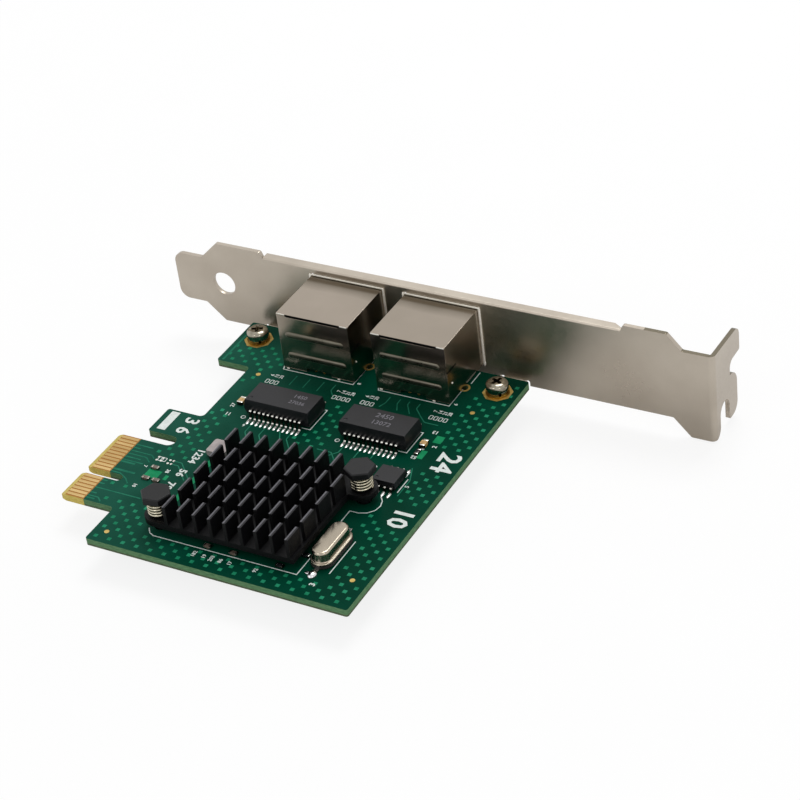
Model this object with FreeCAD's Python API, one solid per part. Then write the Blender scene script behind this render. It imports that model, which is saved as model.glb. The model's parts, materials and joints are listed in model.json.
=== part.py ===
import FreeCAD, Part
import math
import os

# Dual-port network interface card: a single-lane edge card on a full-height slot bracket.
# Millimetres. X runs along the bracket from the edge fingers, Y runs from the free board edge
# to the bracket, Z points out of the component side. The origin lies on the finger tips,
# at the centre of the key slot and midway through the board.

# circuit board
board_thickness = 1.57
board_length = 68.9
key_slot_width = 1.9
key_slot_depth = 8.9
long_fingers_edge = 12.15
short_fingers_edge = 8.15
finger_shoulder = 12.5
free_edge_distance = 17.95
finger_corner_radius = 0.5
finger_bevel_length = 1.1
finger_bevel_depth = 0.4
hook_slot_width = 3.05
hook_slot_reach = 12.4
hook_tip_inset = 4.9
hook_width = 7.6
upper_edge_inset = 13.0
shoulder_edge_inset = 5.0
shoulder_height = 18.1
board_setback = 2.1
board_corner_radius = 0.5
inner_corner_radius = 1.0

# edge contacts
contact_pitch = 1.0
contact_width = 0.7
contact_length = 4.0
contact_start_offset = 1.5
contact_plating = 0.05
contact_margin = 0.1
long_contact_count = 11
short_contact_count = 7

# slot bracket
bracket_reach = 57.4
bracket_span = 120.8
tongue_overhang = 13.9
sheet_thickness = 0.9
bend_radius = 0.1
bend_crown_radius = 0.45
tab_bend_radius = 0.3
plate_drop = 2.65
flange_rise = 15.2
flange_reach = 2.0
flange_end_slant = 1.8
plate_corner_radius = 0.5
wide_end_rise = 16.4
tongue_rise = 12.3
tongue_width = 11.1
tongue_length = 6.85
tongue_corner_radius = 2.2
wide_end_length = 10.7
shoulder_run = 4.2
flange_gap = 0.55
relief_rise = 14.95
far_relief_length = 0.55
far_wide_end_length = 8.85
neck_length = 6.38
neck_shoulder_run = 3.0
foot_shoulder_run = 3.6
foot_start_offset = 0.75
tab_rise = 13.1
tab_taper = 0.5
tab_drop = 6.5
tab_reach = 11.6
tab_corner_radius = 2.0
tab_foot_radius = 2.2
guide_hole_radius = 2.65
guide_hole_inset = 11.65
slot_width = 4.42
slot_offset = 1.6
slot_rise = 6.6
finger_width = 4.0
finger_lift = 0.8
finger_tip_radius = 2.2
finger_shoulder_radius = 3.3
edge_notch_rise = 10.7
edge_notch_height = 3.0
edge_notch_depth = 4.9
edge_notch_radius = 1.6
ear_width = 4.6
ear_reach = 3.2
ear_corner_radius = 2.0
ear_relief_width = 1.0
ear_relief_rise = 0.1
ear_boss_radius = 1.9
ear_boss_height = 0.7

# bracket screws
screw_setback = 5.2
screw_edge_inset = 4.35
screw_spacing = 55.0
screw_shank_radius = 1.25
screw_head_radius = 2.3
screw_head_height = 1.6
screw_crown_radius = 1.45
screw_crown_height = 0.7
screw_recess_width = 0.6
screw_recess_length = 2.6
screw_recess_depth = 0.9
screw_hole_radius = 1.6
washer_radius = 2.4
washer_thickness = 0.45
lock_washer_radius = 2.15
lock_washer_thickness = 0.65
lock_washer_split = 0.5
washer_bore_gap = 0.1
screw_pad_radius = 2.85
pad_thickness = 0.05

# network jacks
jack_width = 16.3
jack_height = 13.45
jack_depth = 16.9
jack_face_proud = 1.6
jack_pitch = 21.5
jack_edge_inset = 11.1
jack_opening_clearance = 0.5
shield_thickness = 0.3
shield_lift = 0.3
housing_clearance = 0.05
rear_slot_height = 0.35
rear_slot_inset = 2.3
rear_rib_height = 0.9
rear_rib_proud = 0.2
rear_rib_inset = 1.8
upper_rib_rise = 8.5
lower_rib_rise = 3.6
rear_window_width = 5.7
rear_window_height = 1.1
side_slit_length = 3.7
side_slit_height = 0.22
side_slit_rise = 7.4
side_latch_radius = 0.45
side_latch_proud = 0.15
shield_leg_width = 1.3
shield_leg_setback = 10.75
shield_leg_length = 0.9
leg_hole_radius = 0.85
leg_pad_radius = 1.25
face_frame_width = 1.2
port_width = 11.8
port_height = 8.3
port_sill = 2.4
port_depth = 12.4
latch_slot_width = 6.2
latch_slot_depth = 1.3
light_width = 2.9
light_height = 1.7
light_depth = 4.0
light_gap = 0.35
chamber_depth = 3.7
peg_radius = 1.6
peg_inset = 2.5
peg_setback = 6.6
peg_length = 1.0
peg_clearance = 0.05
jack_contact_count = 8
jack_contact_pitch = 1.02
jack_contact_width = 0.45
jack_contact_thickness = 0.25
jack_contact_slot = 0.08
jack_contact_drop = 1.2
jack_contact_fall = 2.6
jack_contact_run = 10.2
jack_contact_return = 5.2
jack_contact_nose = 0.7
jack_pin_setback = 1.3
jack_pin_stagger = 1.9
jack_pin_length = 0.9
pin_hole_radius = 0.42
solder_joint_radius = 0.75
solder_tip_radius = 0.36
solder_joint_height = 0.7

# isolation transformers
transformer_length = 14.9
transformer_width = 6.65
transformer_height = 3.65
transformer_standoff = 0.3
transformer_waist_height = 1.8
transformer_draft = 0.3
transformer_pitch = 21.45
transformer_edge_inset = 19.3
transformer_row = 29.7
transformer_lead_count = 12
transformer_lead_pitch = 1.02
transformer_lead_width = 0.45
transformer_lead_thickness = 0.22
transformer_lead_reach = 0.75
transformer_foot_length = 1.5
marker_radius = 0.5
marker_depth = 0.12
marker_inset = 1.2

# controller under the heat sink
controller_size = 14.0
controller_height = 0.95
controller_standoff = 0.1
controller_pad_count = 14
controller_pad_pitch = 0.8
controller_pad_width = 0.4
controller_pad_length = 0.7
thermal_pad_size = 13.0
thermal_pad_thickness = 0.75

# heat sink
sink_centre_x = 40.9
sink_centre_y = 0.8
sink_base_thickness = 1.2
fin_columns = 9
fin_rows = 5
fin_pitch = 3.3
fin_row_pitch = 5.5
fin_length = 4.0
fin_thickness = 0.7
fin_height = 4.2
fin_margin = 0.45
ear_radius = 2.9
ear_hole_radius = 1.6
near_pin_overhang = 2.6
far_pin_overhang = 1.5

# push pins
pin_head_radius = 2.85
pin_head_height = 1.4
pin_head_chamfer = 0.2
pin_shank_radius = 1.25
pin_hole_gap = 0.25
pin_barb_radius = 1.9
pin_barb_height = 1.6
pin_tip_radius = 0.9
pin_split_width = 0.6
spring_length = 3.5
spring_radius = 1.95
spring_wire_radius = 0.24
spring_turns = 4

# crystal
crystal_width = 4.6
crystal_length = 11.0
crystal_can_inset = 0.55
crystal_height = 3.4
crystal_base_height = 0.6
crystal_flange_height = 0.45
crystal_top_radius = 0.45
crystal_gap = 1.1
crystal_centre_y = -4.6
crystal_lead_width = 0.9
crystal_lead_thickness = 0.2
crystal_lead_overhang = 1.4

# memory chip
memory_width = 5.2
memory_length = 5.0
memory_height = 1.85
memory_standoff = 0.15
memory_waist_height = 0.95
memory_draft = 0.2
memory_lead_count = 4
memory_lead_pitch = 1.27
memory_lead_width = 0.42
memory_lead_thickness = 0.2
memory_lead_reach = 0.6
memory_foot_length = 1.05
memory_shift_x = 1.8
memory_shift_y = 6.5

# power inductor
inductor_size = 4.1
inductor_height = 1.5
inductor_corner_radius = 0.5
inductor_gap = 2.1
inductor_row = 13.9
inductor_foot_width = 1.1
inductor_foot_height = 0.25

# chip capacitors and resistors
large_chip_length = 2.0
large_chip_width = 1.25
large_chip_height = 0.8
small_chip_length = 1.6
small_chip_width = 0.85
small_chip_height = 0.5
chip_end_share = 0.22
test_point_radius = 0.5
left_capacitor_gap = 2.7
right_capacitor_gap = 1.95
terminator_drop = 2.6
decoupling_spacing_x = 10.0
decoupling_spacing_y = 8.0
decoupling_reach = 9.0
bias_gap = 5.2
coupling_setback = 0.9
coupling_row = 1.6
coupling_pitch = 3.4
coupling_step = 2.3
near_part_inset = 0.4
first_near_offset = 9.1
second_near_offset = 14.7
third_near_offset = 24.6
crystal_part_drop = 2.9
corner_point_inset_x = 2.9
corner_point_inset_y = 3.1
crystal_point_gap = 5.2
crystal_point_drop = 5.8
shoulder_point_inset_x = 3.0
shoulder_point_inset_y = 1.7
screw_point_inset_x = 1.55
screw_point_drop = 7.9

top = board_thickness / 2
under = -top
board_far = bracket_reach - board_setback
plate_outer = bracket_reach + sheet_thickness
hook_near = long_fingers_edge + hook_slot_width
hook_far = hook_near + hook_width
shoulder_near = hook_far + shoulder_height
screw_row = board_far - screw_setback
screw_columns = [board_length - screw_edge_inset - screw_spacing, board_length - screw_edge_inset]
tongue_end = -tongue_overhang
tab_face = tongue_end + bracket_span
jack_front = plate_outer + jack_face_proud
jack_rear = jack_front - jack_depth
jack_lefts = [
    board_length - jack_edge_inset - jack_width - jack_pitch,
    board_length - jack_edge_inset - jack_width,
]
sink_width = (fin_columns - 1) * fin_pitch + fin_thickness + 2 * fin_margin
sink_depth = (fin_rows - 1) * fin_row_pitch + fin_length
sink_left = sink_centre_x - sink_width / 2
sink_right = sink_left + sink_width
sink_near = sink_centre_y - sink_depth / 2
sink_far = sink_near + sink_depth
sink_floor = top + controller_standoff + controller_height + thermal_pad_thickness
sink_deck = sink_floor + sink_base_thickness
pin_places = [
    (sink_left - near_pin_overhang, sink_near + ear_radius),
    (sink_right + far_pin_overhang, sink_far - ear_radius),
]
pin_head_floor = sink_deck + spring_length
crystal_centre_x = sink_right + crystal_gap + crystal_width / 2
memory_centre = (pin_places[1][0] + memory_shift_x, pin_places[1][1] + memory_shift_y)
transformer_centres = [
    board_length - transformer_edge_inset - transformer_pitch,
    board_length - transformer_edge_inset,
]
inductor_centre_x = sink_left - inductor_gap - inductor_size / 2


def point(x, y, z):
    return FreeCAD.Vector(x, y, z)


def block(x0, x1, y0, y1, z0, z1):
    return Part.makeBox(x1 - x0, y1 - y0, z1 - z0, point(x0, y0, z0))


def rod(radius, x, y, z0, z1):
    return Part.makeCylinder(radius, z1 - z0, point(x, y, z0))


def corner_points(before, corner, after):
    """Where an arc leaves and joins the two sides of a corner, and its middle."""
    u, v, radius = corner
    to_before = (before[0] - u, before[1] - v)
    to_after = (after[0] - u, after[1] - v)
    length_before = math.hypot(to_before[0], to_before[1])
    length_after = math.hypot(to_after[0], to_after[1])
    side_before = (to_before[0] / length_before, to_before[1] / length_before)
    side_after = (to_after[0] / length_after, to_after[1] / length_after)
    cosine = side_before[0] * side_after[0] + side_before[1] * side_after[1]
    half_angle = math.acos(max(-1.0, min(1.0, cosine))) / 2
    reach = radius / math.tan(half_angle)
    start = (u + side_before[0] * reach, v + side_before[1] * reach)
    end = (u + side_after[0] * reach, v + side_after[1] * reach)
    middle_u = side_before[0] + side_after[0]
    middle_v = side_before[1] + side_after[1]
    middle_length = math.hypot(middle_u, middle_v)
    rise = radius / math.sin(half_angle) - radius
    middle = (u + middle_u / middle_length * rise, v + middle_v / middle_length * rise)
    return start, middle, end


def outline(corners, place):
    """A closed wire through corners (u, v, radius), put in space by place(u, v)."""
    count = len(corners)
    pieces = []
    for index, corner in enumerate(corners):
        if corner[2] > 0:
            pieces.append(corner_points(corners[index - 1], corner, corners[(index + 1) % count]))
        else:
            pieces.append(((corner[0], corner[1]), None, (corner[0], corner[1])))
    edges = []
    for index, (start, middle, end) in enumerate(pieces):
        if middle is not None:
            edges.append(Part.Arc(place(*start), place(*middle), place(*end)).toShape())
        following = pieces[(index + 1) % count][0]
        if math.hypot(following[0] - end[0], following[1] - end[1]) > 1e-6:
            edges.append(Part.LineSegment(place(*end), place(*following)).toShape())
    return Part.Wire(edges)


def slab(corners, z0, z1):
    """An outline in the board's plane, raised from z0 to z1."""
    wire = outline(corners, lambda u, v: point(u, v, z0))
    return Part.Face(wire).extrude(point(0, 0, z1 - z0))


def panel(corners, y0, y1):
    """An outline seen along Y, from y0 to y1."""
    wire = outline(corners, lambda u, v: point(u, y0, v))
    return Part.Face(wire).extrude(point(0, y1 - y0, 0))


def rail(corners, x0, x1):
    """An outline seen along X, from x0 to x1."""
    wire = outline(corners, lambda u, v: point(x0, u, v))
    return Part.Face(wire).extrude(point(x1 - x0, 0, 0))


def rounded(x0, x1, y0, y1, radius):
    return [(x0, y0, radius), (x1, y0, radius), (x1, y1, radius), (x0, y1, radius)]


def bent_strip(path, thickness, radius, outer):
    """Corners of a sheet of even thickness along path, with the radii inside and outside its bends."""
    half = thickness / 2
    left = []
    right = []
    for index, (u, v) in enumerate(path):
        before = path[max(index - 1, 0)]
        after = path[min(index + 1, len(path) - 1)]
        directions = []
        for start, end in ((before, (u, v)), ((u, v), after)):
            length = math.hypot(end[0] - start[0], end[1] - start[1])
            if length > 0:
                directions.append(((end[0] - start[0]) / length, (end[1] - start[1]) / length))
        first = directions[0]
        last = directions[-1]
        scale = half / (1 + first[0] * last[0] + first[1] * last[1])
        shift_u = -(first[1] + last[1]) * scale
        shift_v = (first[0] + last[0]) * scale
        turn = first[0] * last[1] - first[1] * last[0]
        left_radius = 0
        right_radius = 0
        if turn > 1e-9:
            left_radius = radius
            right_radius = outer
        elif turn < -1e-9:
            left_radius = outer
            right_radius = radius
        left.append((u + shift_u, v + shift_v, left_radius))
        right.append((u - shift_u, v - shift_v, right_radius))
    return left + right[::-1]


def join(shapes):
    """One solid from pieces that touch or cross."""
    return shapes[0].fuse(shapes[1:]).removeSplitter()


def save(name, shapes):
    Part.makeCompound(shapes).exportStep("parts/" + name + ".step")


def row(count, pitch):
    """Centres of count places spread evenly about zero."""
    return [(index - (count - 1) / 2) * pitch for index in range(count)]


# ---- circuit board ----

def board_outline():
    key = key_slot_width / 2
    return [
        (0, key, finger_corner_radius),
        (0, long_fingers_edge, finger_corner_radius),
        (hook_slot_reach, long_fingers_edge, hook_slot_width / 2),
        (hook_slot_reach, hook_near, hook_slot_width / 2),
        (hook_tip_inset, hook_near, board_corner_radius),
        (hook_tip_inset, hook_far, board_corner_radius),
        (upper_edge_inset, hook_far, inner_corner_radius),
        (upper_edge_inset, shoulder_near, inner_corner_radius),
        (shoulder_edge_inset, shoulder_near, board_corner_radius),
        (shoulder_edge_inset, board_far, board_corner_radius),
        (board_length, board_far, board_corner_radius),
        (board_length, -free_edge_distance, board_corner_radius),
        (finger_shoulder, -free_edge_distance, board_corner_radius),
        (finger_shoulder, -short_fingers_edge, inner_corner_radius),
        (0, -short_fingers_edge, finger_corner_radius),
        (0, -key, finger_corner_radius),
        (key_slot_depth, -key, key),
        (key_slot_depth, key, key),
    ]


def finger_bevel(side):
    """Wedge taken off one face of the finger tips; side is 1 for the top and -1 below."""
    slope = finger_bevel_depth / finger_bevel_length
    face = side * top
    corners = [
        (finger_bevel_length, face, 0),
        (finger_bevel_length, face + side, 0),
        (-1, face + side, 0),
        (-1, face - side * slope * (finger_bevel_length + 1), 0),
    ]
    return panel(corners, -short_fingers_edge - 1, long_fingers_edge + 1)


def jack_middle(left):
    return left + jack_width / 2


def jack_pins(left):
    """Two staggered rows of contact pins under the back of a jack."""
    places = []
    for index, offset in enumerate(row(jack_contact_count, jack_contact_pitch)):
        y = jack_rear + jack_pin_setback + (index % 2) * jack_pin_stagger
        places.append((jack_middle(left) + offset, y))
    return places


def shield_leg_places(left):
    side = shield_thickness / 2
    row_y = jack_front - shield_leg_setback
    return [(left + side, row_y), (left + jack_width - side, row_y)]


def peg_places(left):
    y = jack_front - peg_setback
    return [(left + peg_inset, y), (left + jack_width - peg_inset, y)]


def circuit_board():
    body = slab(board_outline(), under, top)
    holes = [rod(screw_hole_radius, x, screw_row, under - 1, top + 1) for x in screw_columns]
    for x, y in pin_places:
        holes.append(rod(pin_shank_radius + pin_hole_gap, x, y, under - 1, top + 1))
    for left in jack_lefts:
        for x, y in shield_leg_places(left):
            holes.append(rod(leg_hole_radius, x, y, under - 1, top + 1))
        for x, y in peg_places(left):
            holes.append(rod(peg_radius + peg_clearance, x, y, under - 1, top + 1))
        for x, y in jack_pins(left):
            holes.append(rod(pin_hole_radius, x, y, under - 1, top + 1))
    return body.cut(holes + [finger_bevel(1), finger_bevel(-1)])


def edge_contacts(z0, z1):
    start = finger_bevel_length + contact_margin
    strips = []
    centres = [contact_start_offset + index * contact_pitch for index in range(long_contact_count)]
    centres += [-contact_start_offset - index * contact_pitch for index in range(short_contact_count)]
    for y in centres:
        half = contact_width / 2
        strips.append(block(start, start + contact_length, y - half, y + half, z0, z1))
    return strips


def ring(outer, inner, x, y, z0, z1):
    return rod(outer, x, y, z0, z1).cut(rod(inner, x, y, z0 - 1, z1 + 1))


def octagon(radius, x, y):
    corner = radius / math.cos(math.pi / 8)
    angles = [(index + 0.5) * math.pi / 4 for index in range(8)]
    return [(x + corner * math.cos(angle), y + corner * math.sin(angle), 0) for angle in angles]


def screw_pads():
    pads = []
    for x in screw_columns:
        pad = slab(octagon(screw_pad_radius, x, screw_row), top, top + pad_thickness)
        pads.append(pad.cut(rod(screw_hole_radius, x, screw_row, top - 1, top + 1)))
    return pads


def leg_pads():
    pads = []
    for left in jack_lefts:
        for x, y in shield_leg_places(left):
            pads.append(ring(leg_pad_radius, leg_hole_radius, x, y, top, top + pad_thickness))
            pads.append(ring(leg_pad_radius, leg_hole_radius, x, y, under - pad_thickness, under))
    return pads


# ---- slot bracket ----

def flange_root():
    return top + flange_rise - sheet_thickness - bend_radius


def plate_outline():
    """The flat of the bracket between the tongue and the bend of the tab."""
    floor = top - plate_drop
    wide = top + wide_end_rise
    tongue_top = top + tongue_rise
    tongue_floor = tongue_top - tongue_width
    root = flange_root()
    tongue_root = tongue_end + tongue_length
    wide_start = tongue_root + shoulder_run
    flange_start = wide_start + wide_end_length + flange_gap
    tab_root = tab_face - sheet_thickness - tab_bend_radius
    neck_start = tab_face - neck_length
    far_wide_end = neck_start - neck_shoulder_run
    far_wide_start = far_wide_end - far_wide_end_length
    flange_end = far_wide_start - far_relief_length
    foot_start = far_wide_end + foot_start_offset
    relief = top + relief_rise
    soft = plate_corner_radius
    corners = [
        (tongue_end, tongue_floor, tongue_corner_radius),
        (tongue_end, tongue_top, tongue_corner_radius),
        (tongue_root, tongue_top, soft),
        (wide_start, wide, soft),
        (flange_start - flange_gap, wide, soft),
        (flange_start, relief, 0),
        (flange_start, root, 0),
        (flange_end, root, 0),
        (flange_end, relief, 0),
        (far_wide_start, wide, soft),
        (far_wide_end, wide, soft),
        (neck_start, top + tab_rise, soft),
        (tab_root, top + tab_rise, 0),
        (tab_root, top - tab_drop, 0),
        (foot_start + foot_shoulder_run, top - tab_drop, soft),
        (foot_start, floor, soft),
    ]
    for x in reversed(screw_columns):
        corners += ear_gap(x, floor)
    corners += [(wide_start - soft, floor, soft), (tongue_root - soft, tongue_floor, soft)]
    return corners


def ear_root():
    return under + bend_radius


def ear_gap(x, floor):
    """The plate's lower edge round one ear: a relief notch at each side of the fold."""
    half = ear_width / 2
    outer = half + ear_relief_width
    roof = ear_root() + ear_relief_rise
    soft = ear_relief_width * 0.45
    return [
        (x + outer, floor, 0),
        (x + outer, roof, soft),
        (x + half, roof, 0),
        (x + half, ear_root(), 0),
        (x - half, ear_root(), 0),
        (x - half, roof, 0),
        (x - outer, roof, soft),
        (x - outer, floor, 0),
    ]


def jack_cutout(left):
    gap = jack_opening_clearance
    corners = rounded(left - gap, left + jack_width + gap, top - gap / 2,
                      top + jack_height + gap, gap)
    return panel(corners, bracket_reach - 1, plate_outer + 1)


def flange():
    """The stiffening edge folded outwards between the two wide ends."""
    middle = bracket_reach + sheet_thickness / 2
    roof = top + flange_rise - sheet_thickness / 2
    edge = bracket_reach + flange_reach
    path = [(middle, flange_root()), (middle, roof), (edge, roof)]
    start = tongue_end + tongue_length + shoulder_run + wide_end_length + flange_gap
    far_wide_start = tab_face - neck_length - neck_shoulder_run - far_wide_end_length
    end = far_wide_start - far_relief_length
    strip = rail(bent_strip(path, sheet_thickness, bend_radius, bend_crown_radius), start, end)
    trim = [
        (end, plate_outer, 0),
        (end - flange_end_slant, edge, 0),
        (end - flange_end_slant, edge + 1, 0),
        (end + 1, edge + 1, 0),
        (end + 1, plate_outer, 0),
    ]
    return strip.cut(slab(trim, top, top + flange_rise + 1))


def tab_outline():
    """The screw tab, seen along the bracket: the slot is open at the solder side."""
    floor = top - tab_drop
    roof = top + tab_rise
    edge = plate_outer + tab_reach
    slot_near = plate_outer + slot_offset
    slot_far = slot_near + slot_width
    finger_edge = slot_far + finger_width
    notch_floor = floor + edge_notch_rise
    notch_roof = notch_floor + edge_notch_height
    inner = edge - edge_notch_depth
    half = slot_width / 2
    return [
        (bracket_reach, floor, 0),
        (slot_near, floor, tab_foot_radius),
        (slot_near, floor + slot_rise, half),
        (slot_far, floor + slot_rise, half),
        (slot_far, floor + finger_lift, plate_corner_radius),
        (finger_edge, floor + finger_lift, finger_tip_radius),
        (finger_edge, notch_floor, finger_shoulder_radius),
        (inner, notch_floor, 0),
        (inner, notch_roof, edge_notch_radius),
        (edge, notch_roof, plate_corner_radius),
        (edge, roof - tab_taper, tab_corner_radius),
        (bracket_reach, roof, 0),
    ]


def screw_tab():
    """The end of the bracket folded outwards, cut to the tab's outline."""
    middle = bracket_reach + sheet_thickness / 2
    root = tab_face - sheet_thickness - tab_bend_radius
    centre = tab_face - sheet_thickness / 2
    path = [(root, middle), (centre, middle), (centre, plate_outer + tab_reach)]
    corners = bent_strip(path, sheet_thickness, tab_bend_radius, tab_bend_radius + sheet_thickness)
    strip = slab(corners, top - tab_drop, top + tab_rise)
    return strip.common(rail(tab_outline(), root - 1, tab_face + 1))


def ear(x):
    """A mounting ear folded in under the board, with its tapped boss."""
    middle = bracket_reach + sheet_thickness / 2
    level = under - sheet_thickness / 2
    end = screw_row - ear_reach
    path = [(middle, ear_root()), (middle, level), (end, level)]
    half = ear_width / 2
    strip = rail(bent_strip(path, sheet_thickness, bend_radius, bend_crown_radius), x - half, x + half)
    plan = [
        (x - half, end, ear_corner_radius),
        (x + half, end, ear_corner_radius),
        (x + half, plate_outer + 1, 0),
        (x - half, plate_outer + 1, 0),
    ]
    strip = strip.common(slab(plan, under - 2, under + 2))
    boss_floor = under - sheet_thickness - ear_boss_height
    boss = rod(ear_boss_radius, x, screw_row, boss_floor, under - sheet_thickness / 2)
    return strip.fuse(boss)


def mounting_bracket():
    plate = panel(plate_outline(), bracket_reach, plate_outer)
    plate = plate.cut([jack_cutout(left) for left in jack_lefts])
    hole_height = top + tongue_rise - tongue_width / 2
    hole = Part.makeCylinder(guide_hole_radius, sheet_thickness + 2,
                             point(tongue_end + guide_hole_inset, bracket_reach - 1, hole_height),
                             point(0, 1, 0))
    sheet = join([plate.cut(hole), flange(), screw_tab()] + [ear(x) for x in screw_columns])
    taps = [rod(screw_shank_radius, x, screw_row, under - 5, under + 1) for x in screw_columns]
    return sheet.cut(taps)


# ---- bracket screws ----

def washer_top():
    return top + pad_thickness + washer_thickness


def flat_washers():
    inner = screw_shank_radius + washer_bore_gap
    floor = top + pad_thickness
    return [ring(washer_radius, inner, x, screw_row, floor, washer_top()) for x in screw_columns]


def lock_washers():
    """Split spring washers."""
    washers = []
    inner = screw_shank_radius + washer_bore_gap
    roof = washer_top() + lock_washer_thickness
    for x in screw_columns:
        body = ring(lock_washer_radius, inner, x, screw_row, washer_top(), roof)
        half = lock_washer_split / 2
        split = block(x, x + washer_radius, screw_row - half, screw_row + half,
                      washer_top() - 1, roof + 1)
        split.rotate(point(x, screw_row, 0), point(0, 0, 1), -50)
        washers.append(body.cut(split))
    return washers


def bracket_screws():
    """Pan-head screws with a cross recess, down through the board into the ears."""
    screws = []
    floor = washer_top() + lock_washer_thickness
    roof = floor + screw_head_height
    end = under - sheet_thickness - ear_boss_height
    for x in screw_columns:
        profile = [
            (0, roof, 0),
            (screw_crown_radius, roof, 0),
            (screw_head_radius, roof - screw_crown_height, 0),
            (screw_head_radius, floor, 0),
            (screw_shank_radius, floor, 0),
            (screw_shank_radius, end, 0),
            (0, end, 0),
        ]
        wire = outline(profile, lambda u, v: point(x + u, screw_row, v))
        body = Part.Face(wire).revolve(point(x, screw_row, 0), point(0, 0, 1), 360)
        half = screw_recess_width / 2
        reach = screw_recess_length / 2
        recess_floor = roof - screw_recess_depth
        body = body.cut([
            block(x - reach, x + reach, screw_row - half, screw_row + half, recess_floor, roof + 1),
            block(x - half, x + half, screw_row - reach, screw_row + reach, recess_floor, roof + 1),
        ])
        screws.append(body)
    return screws


# ---- network jacks ----

def rear_rib(left, height):
    """A long rounded rib pressed out of the shield's rear wall."""
    low = top + height - rear_rib_height / 2
    corners = rounded(left + rear_rib_inset, left + jack_width - rear_rib_inset - 0.6,
                      low, low + rear_rib_height, rear_rib_height / 2)
    return panel(corners, jack_rear - rear_rib_proud, jack_rear + shield_thickness / 2)


def shield_leg(x):
    y = jack_front - shield_leg_setback
    half = shield_leg_width / 2
    side = shield_thickness / 2
    return block(x - side, x + side, y - half, y + half, under - shield_leg_length,
                 top + shield_lift + shield_thickness)


def side_latch(x, outward):
    """Round dimple that locks the folded wing of the rear cover to the side wall."""
    y = jack_rear + 0.45 * side_slit_length
    z = top + 0.7 * side_slit_rise
    start = point(x - outward * shield_thickness / 2, y, z)
    length = side_latch_proud + shield_thickness / 2
    return Part.makeCylinder(side_latch_radius, length, start, point(outward, 0, 0))


def port_frame(left):
    """Opening in the front wall that shows the plastic face and its lights."""
    edge = face_frame_width
    corners = rounded(left + edge, left + jack_width - edge, top + shield_lift - 1,
                      top + jack_height - edge * 0.4, 0)
    return panel(corners, jack_front - shield_thickness - 0.5, jack_front + 1)


def jack_shield(left):
    """Folded sheet-metal can, open at the bottom and at the port."""
    right = left + jack_width
    roof = top + jack_height
    floor = top + shield_lift
    wall = shield_thickness
    body = block(left, right, jack_rear, jack_front, floor, roof)
    hollow = block(left + wall, right - wall, jack_rear + wall, jack_front - wall,
                   floor - 1, roof - wall)
    slot = block(left + rear_slot_inset, right - rear_slot_inset, jack_rear - 1, jack_rear + wall,
                 roof - wall - rear_slot_height, roof - wall)
    middle = jack_middle(left)
    half = rear_window_width / 2
    window = block(middle - half, middle + half, jack_rear - 1, jack_rear + wall,
                   floor - 1, top + rear_window_height)
    slit_floor = top + side_slit_rise
    slits = [block(x, x + wall, jack_rear - 1, jack_rear + side_slit_length,
                   slit_floor, slit_floor + side_slit_height) for x in (left, right - wall)]
    body = body.cut([hollow, slot, window, port_frame(left)] + slits)
    extras = [rear_rib(left, upper_rib_rise), rear_rib(left, lower_rib_rise)]
    extras += [side_latch(left + wall / 2, -1), side_latch(right - wall / 2, 1)]
    extras += [shield_leg(x) for x, y in shield_leg_places(left)]
    return join([body] + extras)


def light_spans(left):
    """X spans of the two indicator windows above the port."""
    middle = jack_middle(left)
    outer = port_width / 2
    return [(middle - outer, middle - outer + light_width), (middle + outer - light_width, middle + outer)]


def light_floor():
    return top + port_sill + port_height + light_gap


def jack_contact_path(pin_y):
    """Middle line of one contact: pin, riser, run over the cavity wall and sprung return."""
    run_z = top + port_sill + port_height - jack_contact_drop
    turn_y = jack_rear + jack_contact_run
    return [
        (pin_y, under - jack_pin_length),
        (pin_y, run_z),
        (turn_y, run_z),
        (turn_y, run_z - jack_contact_nose),
        (turn_y - jack_contact_return, run_z - jack_contact_fall),
    ]


def jack_contacts(left):
    strips = []
    half = jack_contact_width / 2
    for x, pin_y in jack_pins(left):
        corners = bent_strip(jack_contact_path(pin_y), jack_contact_thickness, 0, 0)
        strips.append(rail(corners, x - half, x + half))
    return strips


def contact_slots(left):
    """Comb slots that let the contacts pass from the rear chamber into the port."""
    run_z = top + port_sill + port_height - jack_contact_drop
    half = jack_contact_width / 2 + jack_contact_slot
    rise = jack_contact_thickness / 2 + jack_contact_slot
    rear_chamber = jack_rear + shield_thickness + chamber_depth
    slots = []
    for offset in row(jack_contact_count, jack_contact_pitch):
        x = jack_middle(left) + offset
        slots.append(block(x - half, x + half, rear_chamber - 1,
                           jack_front - port_depth + 1, run_z - rise, run_z + rise))
    return slots


def jack_housing(left):
    """Plastic insert: plug cavity, latch slot, light pockets, rear chamber and board pegs."""
    gap = shield_thickness + housing_clearance
    middle = jack_middle(left)
    front = jack_front - gap
    body = block(left + gap, left + jack_width - gap, jack_rear + gap, front,
                 top + pad_thickness, top + jack_height - gap)
    half = port_width / 2
    sill = top + port_sill
    cavity = block(middle - half, middle + half, jack_front - port_depth, front + 1,
                   sill, sill + port_height)
    half = latch_slot_width / 2
    latch = block(middle - half, middle + half, jack_front - port_depth, front + 1,
                  sill - latch_slot_depth, sill + 1)
    cuts = [cavity, latch] + contact_slots(left)
    for x0, x1 in light_spans(left):
        cuts.append(block(x0, x1, front - light_depth, front + 1,
                          light_floor(), light_floor() + light_height))
    span = jack_contact_count * jack_contact_pitch / 2
    chamber_roof = sill + port_height
    cuts.append(block(middle - span, middle + span, jack_rear + gap - 1,
                      jack_rear + shield_thickness + chamber_depth, top - 1, chamber_roof))
    body = body.cut(cuts)
    pegs = [rod(peg_radius, x, y, under - peg_length, top + 0.5) for x, y in peg_places(left)]
    return join([body] + pegs)


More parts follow.
